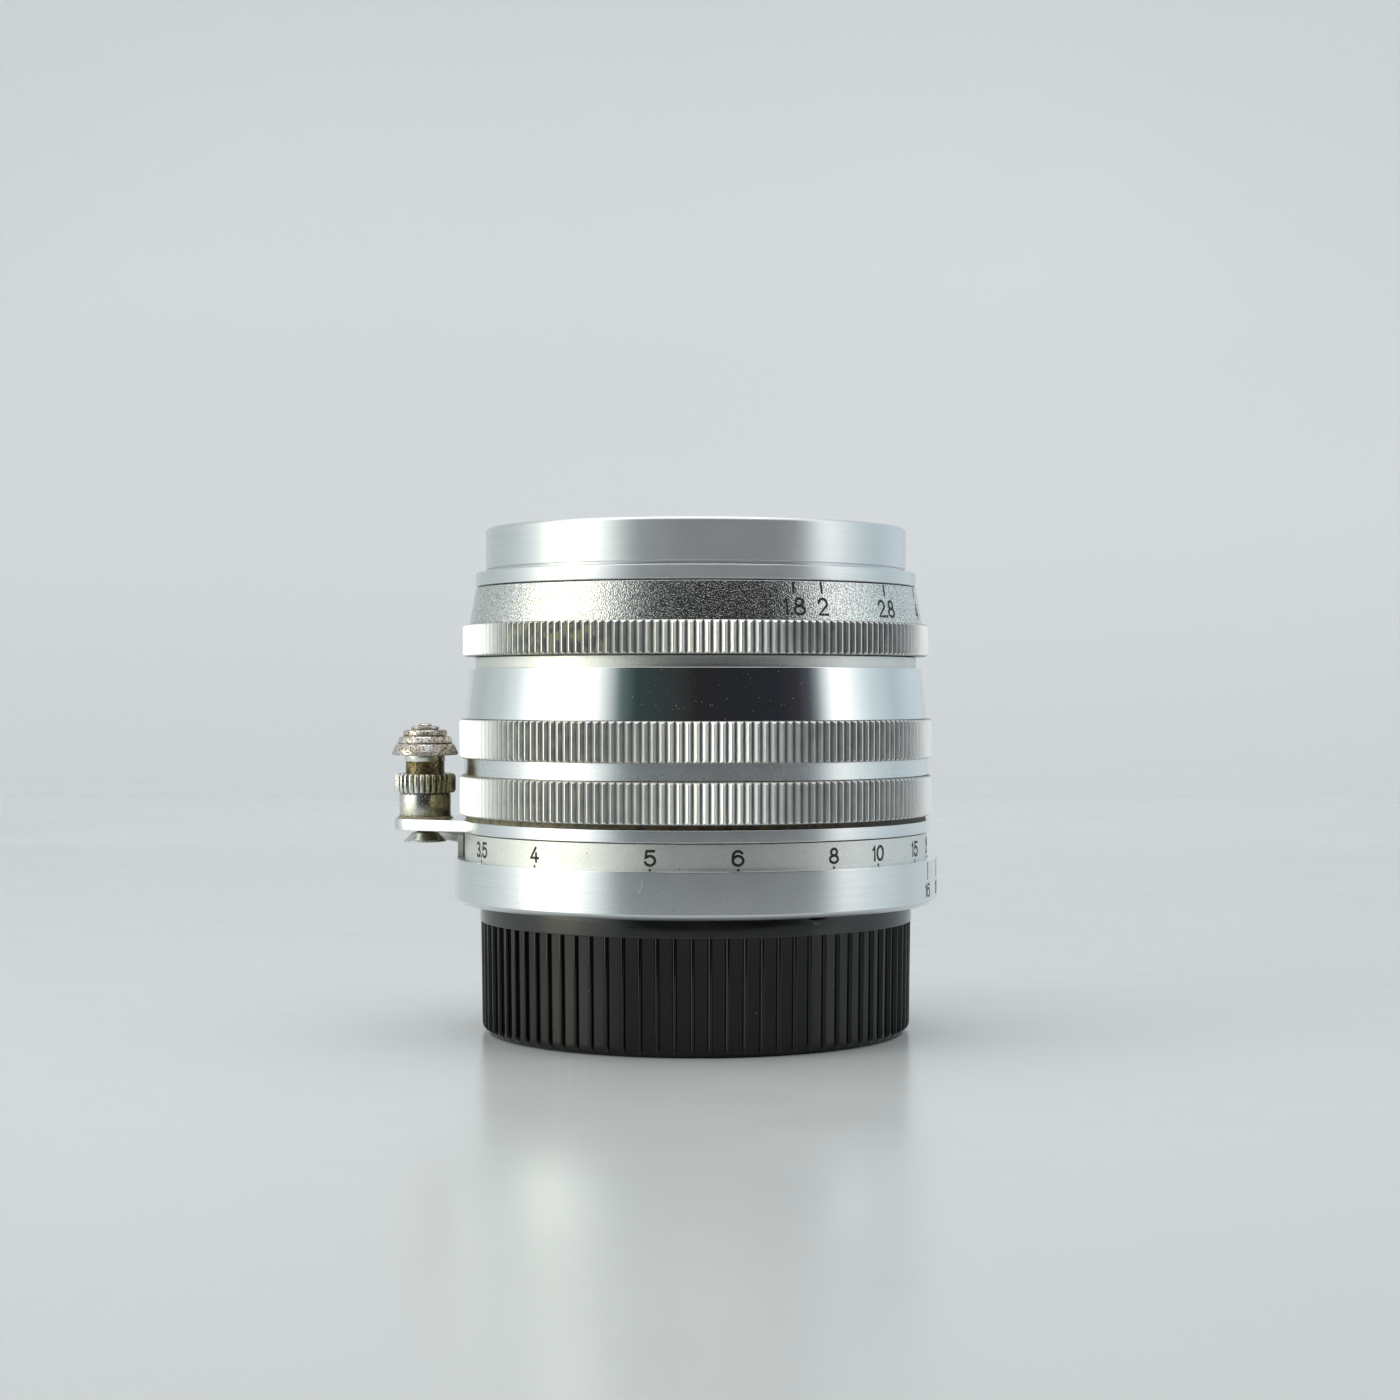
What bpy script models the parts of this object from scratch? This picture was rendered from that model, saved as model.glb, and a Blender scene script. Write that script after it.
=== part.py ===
"""Screw-mount camera lens with a focusing helicoid, standing front up on its rear cap.

Metres, +Z up towards the subject. The origin is on the optical axis, at the bottom face of the rear cap.
Azimuths are in degrees about +Z: 0 is the front (-Y), 90 is +X, so a ring that turns
anticlockwise seen from above moves to larger azimuths. Profiles are (radius, height) in millimetres.
"""

import bpy
import bmesh
from math import cos, pi, radians, sin, sqrt
from mathutils import Matrix

MM = 0.001

# Facets round each kind of piece.
OUTER_STEPS = 40
INNER_STEPS = 30
GLASS_STEPS = 20
LOCK_STEPS = 14
SCREW_STEPS = 8

# Driving radii of the outside, in mm.
CAP_R = 21.57
DEPTH_RING_R = 24.1
DISTANCE_RING_R = 23.12
LEVER_RING_R = 23.35
KNURL_R = 23.67
CONE_LOW_R = 23.1
CONE_TOP_R = 22.6
NECK_R = 22.05
APERTURE_KNURL_R = 23.3
INDEX_RING_R = 22.0
FRONT_RIM_R = 21.0
FILTER_THREAD_R = 20.05
CAMERA_THREAD_R = 19.5

# Driving heights of the outside, in mm above the table.
CAP_TOP = 12.9
FLANGE = 12.97
DEPTH_RING_TOP = 17.55
DISTANCE_RING_LOW = 17.65
LEVER_RING_LOW = 20.0
LEVER_RING_TOP = 21.25
GRIP_LOW = 21.6
CONE_LOW = 31.2
CONE_TOP = 36.1
NECK_TOP = 37.2
APERTURE_LOW = 37.3
APERTURE_TOP = 44.1
INDEX_TOP = 45.6
RIM_LOW = 45.95
FRONT = 50.0

# Head barrel, helicoid and guide.
HEAD_THREAD_R = 19.1
HEAD_TUBE_R = 18.3
HEAD_BORE_R = 16.9
IRIS_BORE_R = 17.6
SLEEVE_R = 19.3
NUT_R = 20.95
NUT_BORE_R = 19.4
GRIP_BORE_R = 21.3
LIP_BORE_R = 19.45
KEY_AZIMUTH = 180.0  # the key and its slot lie along +Y
FOCUS_THROW = 165.6

# Infinity lock, on the tab at the left.
LOCK_AZIMUTH = -90.0
LOCK_R = 27.2
TAB_END_R = 3.06
TAB_TAPER = 22.0  # each side of the tab leans this far from the tab's own line
LOCK_BORE_R = 2.2
STEM_R = 1.96
ROD_R = 0.85
FOOT_R = 2.2
FOOT_LOW = 18.75

# Aperture: ring travel either side of rest, and the ten-bladed iris.
RING_TO_WIDE_OPEN = 78.2
RING_TO_SMALLEST = 53.7
DRIVER_AZIMUTH = 150.0
DRIVER_HEIGHT = 39.0
BLADE_COUNT = 10
PIVOT_R = 16.0
BLADE_IN_R = 10.5
BLADE_OUT_R = 15.2
BLADE_SPAN = 108.0
BLADE_THICK = 0.08
BLADE_PITCH = 0.14
BLADE_LOW = 28.3
BLADE_SWING = 33.86
BLADE_REST = BLADE_SWING * RING_TO_WIDE_OPEN / (RING_TO_WIDE_OPEN + RING_TO_SMALLEST)

for old in list(bpy.data.objects):
    bpy.data.objects.remove(old)

parts = bpy.data.collections.new("screw_mount_lens")
cutters = bpy.data.collections.new("cutters")
bpy.context.scene.collection.children.link(parts)
bpy.context.scene.collection.children.link(cutters)


def material(name, colour, roughness, metallic):
    """A Principled material with one colour, roughness and metallic value."""
    made = bpy.data.materials.new(name)
    made.use_nodes = True
    shader = made.node_tree.nodes["Principled BSDF"]
    shader.inputs["Base Color"].default_value = (*colour, 1.0)
    shader.inputs["Roughness"].default_value = roughness
    shader.inputs["Metallic"].default_value = metallic
    return made


CHROME = material("polished_chrome", (0.82, 0.83, 0.84), 0.12, 1.0)
SATIN = material("satin_chrome", (0.74, 0.74, 0.73), 0.42, 1.0)
NICKEL = material("worn_nickel", (0.66, 0.61, 0.50), 0.35, 1.0)
BRASS = material("brass", (0.70, 0.53, 0.25), 0.30, 1.0)
STEEL = material("steel", (0.55, 0.55, 0.56), 0.35, 1.0)
BLADE_STEEL = material("blued_blade_steel", (0.06, 0.06, 0.07), 0.45, 1.0)
ALUMINIUM = material("aluminium", (0.72, 0.72, 0.73), 0.35, 1.0)
BLACK_METAL = material("black_anodised", (0.02, 0.02, 0.02), 0.55, 0.3)
CAP_PLASTIC = material("black_plastic", (0.015, 0.016, 0.017), 0.32, 0.0)
GLASS = material("coated_glass", (0.80, 0.86, 0.95), 0.03, 0.0)
GLASS.node_tree.nodes["Principled BSDF"].inputs["Transmission Weight"].default_value = 1.0


def spot(radius, azimuth, height=0.0):
    """Metres position of a point given by radius and height in mm and its azimuth."""
    turn = radians(azimuth)
    return (radius * sin(turn) * MM, -radius * cos(turn) * MM, height * MM)


def heading(azimuth):
    """Rotation about +Z that turns local +X to point outwards at the azimuth."""
    return radians(azimuth - 90.0)


def body(name, location=(0.0, 0.0, 0.0), parent=None):
    """Empty that carries the pieces of one moving body, on that body's joint axis."""
    empty = bpy.data.objects.new(name, None)
    empty.location = location
    empty.parent = parent
    empty.empty_display_size = 0.004
    parts.objects.link(empty)
    return empty


def finish(item, surface, parent, location, rotation):
    """Give a new piece its material, parent and place, shade it and link it."""
    item.data.materials.append(surface)
    item.parent = parent
    item.location = location
    item.rotation_euler = rotation
    parts.objects.link(item)
    return item


def turned(name, profile, steps, surface, parent=None, location=(0, 0, 0), rotation=(0, 0, 0)):
    """Turn a profile about +Z. Its outer side runs down; it closes on itself or ends on the axis."""
    on_axis = profile[0][0] == 0
    count = len(profile)
    edges = [(i, i + 1) for i in range(count - 1)]
    if not on_axis:
        edges.append((count - 1, 0))
    mesh = bpy.data.meshes.new(name)
    mesh.from_pydata([(r * MM, 0.0, z * MM) for r, z in profile], edges, [])
    item = bpy.data.objects.new(name, mesh)
    screw = item.modifiers.new("turn", "SCREW")
    screw.steps = steps
    screw.render_steps = steps
    screw.use_merge_vertices = on_axis
    screw.merge_threshold = 0.000001
    screw.use_smooth_shade = True
    return finish(item, surface, parent, location, rotation)


def plate_mesh(name, outline, low, high):
    """Mesh of a flat outline of (x, y) points in mm, anticlockwise, between two heights."""
    curve = bpy.data.curves.new(name, "CURVE")
    curve.dimensions = "2D"
    curve.fill_mode = "BOTH"
    curve.extrude = (high - low) / 2 * MM
    line = curve.splines.new("POLY")
    line.use_cyclic_u = True
    line.points.add(len(outline) - 1)
    for point, (x, y) in zip(line.points, outline):
        point.co = (x * MM, y * MM, 0.0, 1.0)
    flat = bpy.data.objects.new(name, curve)
    cutters.objects.link(flat)
    graph = bpy.context.evaluated_depsgraph_get()
    mesh = bpy.data.meshes.new_from_object(flat.evaluated_get(graph))
    bpy.data.objects.remove(flat)
    shape = bmesh.new()
    shape.from_mesh(mesh)
    bmesh.ops.remove_doubles(shape, verts=shape.verts, dist=0.0000001)
    bmesh.ops.recalc_face_normals(shape, faces=shape.faces)
    bmesh.ops.translate(shape, verts=shape.verts, vec=(0.0, 0.0, (low + high) / 2 * MM))
    shape.to_mesh(mesh)
    shape.free()
    return mesh


def arc(radius, start, end, steps, centre=(0.0, 0.0)):
    """Points in mm along an arc between two angles from +X, both ends included."""
    angles = [radians(start + (end - start) * i / steps) for i in range(steps + 1)]
    return [(centre[0] + radius * cos(a), centre[1] + radius * sin(a)) for a in angles]


def sector_outline(r_in, r_out, start, end, steps):
    """Outline of a piece of a flat ring between two azimuths."""
    return arc(r_out, start - 90, end - 90, steps) + arc(r_in, end - 90, start - 90, steps)


def tool(mesh, name):
    """Object that only cuts or joins others."""
    item = bpy.data.objects.new(name, mesh)
    item.display_type = "WIRE"
    item.hide_render = True
    cutters.objects.link(item)
    return item


def rod_tool(name, radius, length, matrix, sides=SCREW_STEPS):
    """Cylinder tool whose axis runs from the matrix's origin along its local +Z."""
    mesh = bpy.data.meshes.new(name)
    shape = bmesh.new()
    middle = matrix @ Matrix.Translation((0.0, 0.0, length / 2 * MM))
    bmesh.ops.create_cone(shape, cap_ends=True, segments=sides, radius1=radius * MM,
                          radius2=radius * MM, depth=length * MM, matrix=middle)
    shape.to_mesh(mesh)
    shape.free()
    return tool(mesh, name)


def upright(radius, azimuth, height):
    """Matrix at a place round the axis, its +Z up."""
    return Matrix.Translation(spot(radius, azimuth, height)) @ Matrix.Rotation(heading(azimuth), 4, "Z")


def outward(radius, azimuth, height):
    """Matrix at a place round the axis, its +Z pointing straight out from the lens axis."""
    return upright(radius, azimuth, height) @ Matrix.Rotation(pi / 2, 4, "Y")


def combine(item, other, operation):
    """Boolean modifier on item with another object."""
    step = item.modifiers.new(operation.lower() + " " + other.name, "BOOLEAN")
    step.operation = operation
    step.object = other
    step.solver = "EXACT"


def drill(items, name, radius, length, matrix, sides=SCREW_STEPS):
    """Cut one round hole through each of the items."""
    hole = rod_tool(name, radius, length, matrix, sides)
    for item in items:
        combine(item, hole, "DIFFERENCE")


def screw_piece(name, head_r, head, shank_r, shank, parent, location, rotation=(0, 0, 0)):
    """Cheese-head screw: the shank starts at local z 0 and the head is on top of it."""
    profile = [(0, shank + head), (head_r, shank + head), (head_r, shank), (shank_r, shank),
               (shank_r, 0.0), (0, 0.0)]
    return turned(name, profile, SCREW_STEPS, STEEL, parent, location, rotation)


def cap_curve(vertex, bend, edge_r, side, steps=4):
    """Points of a spherical glass face from the axis to its edge; side -1 falls away from the vertex."""
    points = []
    for i in range(steps + 1):
        r = edge_r * i / steps
        points.append((r, vertex + side * (bend - sqrt(bend * bend - r * r))))
    return points


# ---------------------------------------------------------------- rear cap

def build_cap():
    floor = 1.8
    bore = 19.9
    turned("rear_cap", [(0, floor), (bore, floor), (bore, CAP_TOP), (CAP_R, CAP_TOP), (CAP_R, 11.1),
                        (21.35, 0.9), (20.55, 0.0), (0, 0.0)], OUTER_STEPS, CAP_PLASTIC)


# ---------------------------------------------------------------- fixed mount

def build_mount(mount):
    shelf = 14.15
    base_low, base_top = 14.4, 15.3
    screw_r = 21.4

    ring = turned("depth_scale_ring", [
        (DEPTH_RING_R, DEPTH_RING_TOP), (DEPTH_RING_R, FLANGE + 0.5), (23.55, FLANGE), (19.9, FLANGE),
        (19.9, shelf), (23.0, shelf), (23.0, DEPTH_RING_TOP)], OUTER_STEPS, CHROME, mount)
    base = turned("lens_base", [
        (22.7, base_top), (22.7, base_low), (CAMERA_THREAD_R, base_low), (CAMERA_THREAD_R, 8.6),
        (18.7, 8.6), (18.7, base_top)], INNER_STEPS, BRASS, mount)

    for i, azimuth in enumerate((30.0, 150.0, 270.0), 1):
        drill([ring, base], f"base_hole_{i}", 0.62, 3.0, upright(screw_r, azimuth, 13.3))
        drill([base], f"base_counterbore_{i}", 1.05, 1.0, upright(screw_r, azimuth, 14.8))
        screw_piece(f"base_screw_{i}", 0.85, 0.35, 0.42, 1.4, mount, spot(screw_r, azimuth, 13.5))

    pin_gap = 4.4
    pins = {"focus_stop_pin_near": LOCK_AZIMUTH + FOCUS_THROW + pin_gap,
            "focus_stop_pin_infinity": LOCK_AZIMUTH - pin_gap}
    for name, azimuth in pins.items():
        drill([base], name + "_hole", 0.5, 1.0, upright(22.15, azimuth, 14.7))
        turned(name, [(0, 1.5), (0.4, 1.5), (0.4, 0), (0, 0)], SCREW_STEPS, STEEL, mount,
               spot(22.15, azimuth, 14.9))

    turned("retaining_ring", [(22.7, 17.4), (22.7, 16.65), (21.25, 16.65), (21.25, 17.4)],
           INNER_STEPS, BRASS, mount)
    build_guide_key(mount, base)
    build_catch(mount, ring)


def build_guide_key(mount, base):
    middle = 13.5
    block = [(-1.35, 17.0), (1.35, 17.0), (1.35, 18.4), (-1.35, 18.4)]
    key = bpy.data.objects.new("guide_key", plate_mesh("guide_key", block, 12.2, 14.8))
    finish(key, STEEL, mount, (0, 0, 0), (0, 0, 0))
    drill([key, base], "key_hole", 0.5, 2.35, outward(16.9, KEY_AZIMUTH, middle))
    drill([key], "key_counterbore", 0.85, 0.8, outward(16.8, KEY_AZIMUTH, middle))
    # The screw's head is on the lens side, so it points inwards.
    screw_piece("guide_key_screw", 0.7, 0.35, 0.35, 1.5, mount, spot(19.1, KEY_AZIMUTH, middle),
                (0.0, -pi / 2, heading(KEY_AZIMUTH)))


def build_catch(mount, ring):
    """Block that stands in a pocket of the depth-of-field ring, with an arm that hooks the lock's foot."""
    pocket = tool(plate_mesh("catch_pocket", sector_outline(23.1, 24.5, -96.4, -83.6, 3), 17.0, 18.0),
                  "catch_pocket")
    combine(ring, pocket, "DIFFERENCE")

    block = sector_outline(23.25, 23.95, LOCK_AZIMUTH - 5.4, LOCK_AZIMUTH + 5.4, 3)
    catch = bpy.data.objects.new("infinity_catch", plate_mesh("infinity_catch", block, 17.05, 19.62))
    finish(catch, CHROME, mount, (0, 0, 0), (0, 0, 0))

    root = [(-24.8, -2.0), (-23.6, -2.0), (-23.6, 2.1), (-24.8, 2.1)]
    hook = [(-27.6, 1.4), (-24.6, 0.4), (-24.6, -1.0), (-24.2, -1.0), (-24.2, 2.05), (-24.7, 3.9),
            (-27.6, 3.9)]
    for name, outline in (("catch_root", root), ("catch_hook", hook)):
        combine(catch, tool(plate_mesh(name, outline, 18.8, 19.62), name), "UNION")
    drill([catch], "catch_notch", FOOT_R + 0.3, 3.0, upright(LOCK_R, LOCK_AZIMUTH, 18.0), LOCK_STEPS)


# ---------------------------------------------------------------- focusing ring

def build_focus(focus, lock):
    screw_r = 22.2
    lip_low, lip_top = 29.9, CONE_LOW
    nut_top = 29.6

    nut = turned("helicoid_nut", [(NUT_R, nut_top), (NUT_R, 16.4), (21.6, 16.4), (21.6, 15.6),
                                  (NUT_BORE_R, 15.6), (NUT_BORE_R, nut_top)], INNER_STEPS, BRASS, focus)
    lug = sector_outline(21.0, 22.55, LOCK_AZIMUTH - 3.0, LOCK_AZIMUTH + 3.0, 2)
    combine(nut, tool(plate_mesh("stop_lug", lug, 15.65, 16.35), "stop_lug"), "UNION")

    grip = turned("focus_grip", [
        (CONE_TOP_R, CONE_TOP), (CONE_LOW_R, CONE_LOW), (KNURL_R, CONE_LOW - 0.05), (KNURL_R, 27.26),
        (23.18, 27.1), (23.18, 25.65), (KNURL_R, 25.5), (KNURL_R, GRIP_LOW), (GRIP_BORE_R, GRIP_LOW),
        (GRIP_BORE_R, lip_low), (LIP_BORE_R, lip_low), (LIP_BORE_R, lip_top), (NECK_R + 0.2, lip_top),
        (NECK_R + 0.2, CONE_TOP)], OUTER_STEPS, CHROME, focus)

    lever = turned("lever_ring", [
        (LEVER_RING_R, LEVER_RING_TOP), (LEVER_RING_R, LEVER_RING_LOW), (GRIP_BORE_R, LEVER_RING_LOW),
        (GRIP_BORE_R, LEVER_RING_TOP)], OUTER_STEPS, CHROME, focus)
    reach = LOCK_R - 21.9
    lean = radians(TAB_TAPER)
    half = (TAB_END_R + reach * sin(lean)) / cos(lean)
    tab = arc(TAB_END_R, 90 + TAB_TAPER, 270 - TAB_TAPER, 8, (-LOCK_R, 0.0))
    tab += [(-21.9, -half), (-21.9, half)]
    combine(lever, tool(plate_mesh("lever_tab", tab, LEVER_RING_LOW, LEVER_RING_TOP), "lever_tab"), "UNION")
    drill([lever], "tab_hole", 1.15, 3.0, upright(LOCK_R, LOCK_AZIMUTH, 19.0))

    scale = turned("distance_scale_ring", [
        (DISTANCE_RING_R, LEVER_RING_LOW - 0.07), (DISTANCE_RING_R, DISTANCE_RING_LOW),
        (GRIP_BORE_R, DISTANCE_RING_LOW), (GRIP_BORE_R, LEVER_RING_LOW - 0.07)], OUTER_STEPS, SATIN, focus)

    for i, azimuth in enumerate((14.0, 134.0, 254.0), 1):
        drill([scale, lever, grip], f"scale_screw_hole_{i}", 0.55, 6.3, upright(screw_r, azimuth, 17.3))
        drill([scale], f"scale_screw_counterbore_{i}", 0.76, 1.7, upright(screw_r, azimuth, 17.2))
        screw_piece(f"scale_screw_{i}", 0.62, 0.5, 0.4, 4.4, focus, spot(screw_r, azimuth, 23.2),
                    (pi, 0.0, 0.0))
        seat = azimuth + 60.0
        drill([grip, nut], f"grip_screw_hole_{i}", 0.42, 3.6, upright(20.35, seat, 27.8))
        drill([grip], f"grip_screw_counterbore_{i}", 0.6, 1.0, upright(20.35, seat, 30.55))
        screw_piece(f"grip_screw_{i}", 0.5, 0.45, 0.3, 2.4, focus, spot(20.35, seat, 28.2))

    build_lock(focus, lock)


def build_lock(focus, lock):
    """Sprung plunger: barrel and collar on the tab, and the stem, dome and foot that move."""
    post = spot(LOCK_R, LOCK_AZIMUTH)
    turned("lock_barrel", [(2.57, 23.6), (2.57, 21.3), (LOCK_BORE_R, 21.3), (LOCK_BORE_R, 23.6)],
           LOCK_STEPS, NICKEL, focus, post)
    turned("lock_collar", [(3.02, 25.6), (3.02, 23.66), (LOCK_BORE_R, 23.66), (LOCK_BORE_R, 25.6)],
           LOCK_STEPS, NICKEL, focus, post)
    build_spring(focus, post, 21.5, 24.45)

    turned("lock_stem", [(0, 28.5), (1.0, 28.5), (1.0, 27.4), (STEM_R, 27.4), (STEM_R, 24.6),
                         (ROD_R, 24.6), (ROD_R, 19.2), (0, 19.2)], LOCK_STEPS, BRASS, lock)
    turned("lock_dome", [
        (0, 30.64), (0.66, 30.6), (0.7, 30.38), (1.38, 30.36), (1.42, 30.02), (2.17, 30.0), (2.2, 29.36),
        (2.5, 29.34), (2.76, 28.62), (2.9, 28.59), (3.3, 27.5), (1.25, 27.5), (1.25, 28.75),
        (0, 28.75)], LOCK_STEPS, NICKEL, lock)
    turned("lock_foot", [(0, 19.0), (1.05, 19.0), (1.05, 19.7), (1.45, 19.7), (FOOT_R, FOOT_LOW + 0.1),
                         (FOOT_R, FOOT_LOW), (0, FOOT_LOW)], LOCK_STEPS, NICKEL, lock)


def build_spring(focus, post, low, high):
    """Coil spring round the plunger rod, between the tab and the stem's shoulder."""
    turns = 4.0
    per_turn = 9
    count = int(turns * per_turn)
    wire = 0.15
    curve = bpy.data.curves.new("lock_spring", "CURVE")
    curve.dimensions = "3D"
    curve.bevel_depth = wire * MM
    curve.bevel_resolution = 1
    curve.use_fill_caps = True
    line = curve.splines.new("POLY")
    line.points.add(count)
    for i, point in enumerate(line.points):
        turn = 2 * pi * i / per_turn
        height = low + wire + (high - low - 2 * wire) * i / count
        point.co = (1.5 * cos(turn) * MM, 1.5 * sin(turn) * MM, height * MM, 1.0)
    finish(bpy.data.objects.new("lock_spring", curve), STEEL, focus, post, (0, 0, 0))


# ---------------------------------------------------------------- head

def build_head(head):
    barrel = turned("head_barrel", [
        (SLEEVE_R, 44.5), (SLEEVE_R, NECK_TOP), (NECK_R, NECK_TOP), (NECK_R, 32.4), (21.4, 32.4),
        (21.4, 36.2), (HEAD_THREAD_R, 36.2), (HEAD_THREAD_R, 20.0), (HEAD_TUBE_R, 20.0),
        (HEAD_TUBE_R, 9.0), (HEAD_BORE_R, 9.0), (HEAD_BORE_R, 26.4), (IRIS_BORE_R, 26.4),
        (IRIS_BORE_R, 44.5)], INNER_STEPS, CHROME, head)
    key_slot = [(-1.75, 15.5), (1.75, 15.5), (1.75, 20.0), (-1.75, 20.0)]
    combine(barrel, tool(plate_mesh("key_slot", key_slot, 8.0, 15.3), "key_slot"), "DIFFERENCE")
    driver_slot = sector_outline(17.0, 20.0, DRIVER_AZIMUTH - RING_TO_SMALLEST - 4.0,
                                 DRIVER_AZIMUTH + RING_TO_WIDE_OPEN + 4.0, 14)
    combine(barrel, tool(plate_mesh("driver_slot", driver_slot, 38.3, 39.7), "driver_slot"), "DIFFERENCE")

    turned("index_ring", [(INDEX_RING_R - 0.2, INDEX_TOP), (INDEX_RING_R, INDEX_TOP - 0.2),
                          (INDEX_RING_R, APERTURE_TOP + 0.1), (19.55, APERTURE_TOP + 0.1),
                          (19.55, INDEX_TOP)], OUTER_STEPS, CHROME, head)
    turned("front_rim", [
        (FRONT_RIM_R - 0.25, FRONT), (FRONT_RIM_R, FRONT - 0.25), (FRONT_RIM_R, RIM_LOW),
        (20.7, RIM_LOW), (20.7, INDEX_TOP + 0.1), (18.0, INDEX_TOP + 0.1), (18.0, 46.5),
        (FILTER_THREAD_R, 46.5), (FILTER_THREAD_R, FRONT)], OUTER_STEPS, CHROME, head)
    turned("name_ring", [(19.8, 47.6), (19.8, 46.75), (17.7, 46.75), (17.7, 45.7), (15.5, 45.7),
                         (15.5, 46.3)], INNER_STEPS, BLACK_METAL, head)
    turned("rangefinder_cam", [(16.65, 12.0), (16.65, 8.7), (HEAD_TUBE_R, 8.7), (HEAD_TUBE_R, 5.5),
                               (15.9, 5.5), (15.9, 12.0)], INNER_STEPS, BRASS, head)
    build_front_cell(head)
    build_rear_cell(head)
    build_iris_housing(head)


def build_front_cell(head):
    turned("front_cell", [
        (19.1, 45.4), (19.1, 44.75), (15.95, 44.75), (15.95, 30.95), (11.6, 30.95), (11.6, 31.25),
        (12.65, 31.25), (12.65, 37.6), (13.4, 37.6), (13.4, 38.9), (14.6, 38.9), (14.6, 42.3),
        (15.2, 42.3), (15.2, 45.4)], INNER_STEPS, ALUMINIUM, head)
    turned("front_element", cap_curve(45.6, 30.0, 14.3, -1) + [(14.3, 39.15), (0, 39.15)],
           GLASS_STEPS, GLASS, head)
    turned("front_pair_upper", cap_curve(38.2, 28.0, 12.4, -1) + [(12.4, 34.4), (0, 34.4)],
           GLASS_STEPS, GLASS, head)
    hollow = cap_curve(33.4, 22.0, 9.0, -1)
    turned("front_pair_lower", [(0, 34.15), (12.4, 34.15), (12.4, 31.5)] + hollow[::-1],
           GLASS_STEPS, GLASS, head)
    turned("front_retainer", [(14.95, 44.4), (14.95, 42.6), (13.9, 42.6), (13.9, 44.4)],
           GLASS_STEPS, BLACK_METAL, head)
    turned("front_pair_retainer", [(12.4, 37.2), (12.4, 36.15), (11.3, 36.15), (11.3, 37.2)],
           GLASS_STEPS, BLACK_METAL, head)


def build_rear_cell(head):
    turned("rear_cell", [
        (15.2, 26.2), (15.2, 25.0), (16.6, 25.0), (16.6, 12.4), (11.6, 12.4), (11.6, 16.6), (10.9, 16.6),
        (10.9, 25.6), (9.9, 25.6), (9.9, 26.2)], INNER_STEPS, ALUMINIUM, head)
    hollow = cap_curve(23.6, 23.4, 9.0, 1)
    turned("rear_pair_upper", hollow + [(10.6, 25.4), (10.6, 22.45), (0, 22.45)], GLASS_STEPS, GLASS, head)
    bulge = cap_curve(18.5, 20.0, 10.6, 1)
    turned("rear_pair_lower", [(0, 22.2), (10.6, 22.2)] + bulge[::-1], GLASS_STEPS, GLASS, head)
    turned("rear_element", cap_curve(17.9, 40.0, 11.3, -1) + cap_curve(13.5, 90.0, 11.3, 1)[::-1],
           GLASS_STEPS, GLASS, head)
    turned("rear_pair_retainer", [(10.65, 20.8), (10.65, 19.7), (9.7, 19.7), (9.7, 20.8)],
           GLASS_STEPS, BLACK_METAL, head)
    turned("rear_retainer", [(11.35, 13.7), (11.35, 12.5), (10.2, 12.5), (10.2, 13.7)],
           GLASS_STEPS, BLACK_METAL, head)


# ---------------------------------------------------------------- iris

def build_iris_housing(head):
    housing = turned("iris_housing", [(17.3, 28.0), (17.3, 26.7), (10.9, 26.7), (10.9, 28.0)],
                     INNER_STEPS, BLACK_METAL, head)
    for i in range(BLADE_COUNT):
        azimuth = i * 360.0 / BLADE_COUNT
        drill([housing], f"pivot_hole_{i + 1:02d}", 0.5, 3.0, upright(PIVOT_R, azimuth, 26.0))


def blade_mesh():
    """One blade with its pivot pin, wide open, about its pivot; +X points away from the lens axis."""
    centre = (-PIVOT_R, 0.0)
    outline = arc(0.75, -100, 60, 4)
    outline += arc(BLADE_OUT_R, 5, BLADE_SPAN, 8, centre)
    outline += arc(BLADE_IN_R, BLADE_SPAN, -4, 8, centre)
    half = BLADE_THICK / 2
    blade = tool(plate_mesh("blade_shape", outline, -half, half), "blade_shape")
    pin = rod_tool("blade_pin", 0.35, 2.1, Matrix.Translation((0.0, 0.0, -2.1 * MM)))
    combine(blade, pin, "UNION")
    graph = bpy.context.evaluated_depsgraph_get()
    mesh = bpy.data.meshes.new_from_object(blade.evaluated_get(graph))
    for used in (blade, pin):
        bpy.data.objects.remove(used)
    mesh.name = "iris_blade"
    mesh.materials.clear()
    mesh.materials.append(BLADE_STEEL)
    return mesh


def build_blades(head):
    shared = blade_mesh()
    for i in range(BLADE_COUNT):
        azimuth = i * 360.0 / BLADE_COUNT
        blade = bpy.data.objects.new(f"iris_blade_{i + 1:02d}", shared)
        blade.parent = head
        blade.location = spot(PIVOT_R, azimuth, BLADE_LOW + BLADE_PITCH * i)
        blade.rotation_euler = (0.0, 0.0, heading(azimuth) + radians(BLADE_REST))
        parts.objects.link(blade)


# ---------------------------------------------------------------- aperture ring

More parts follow.
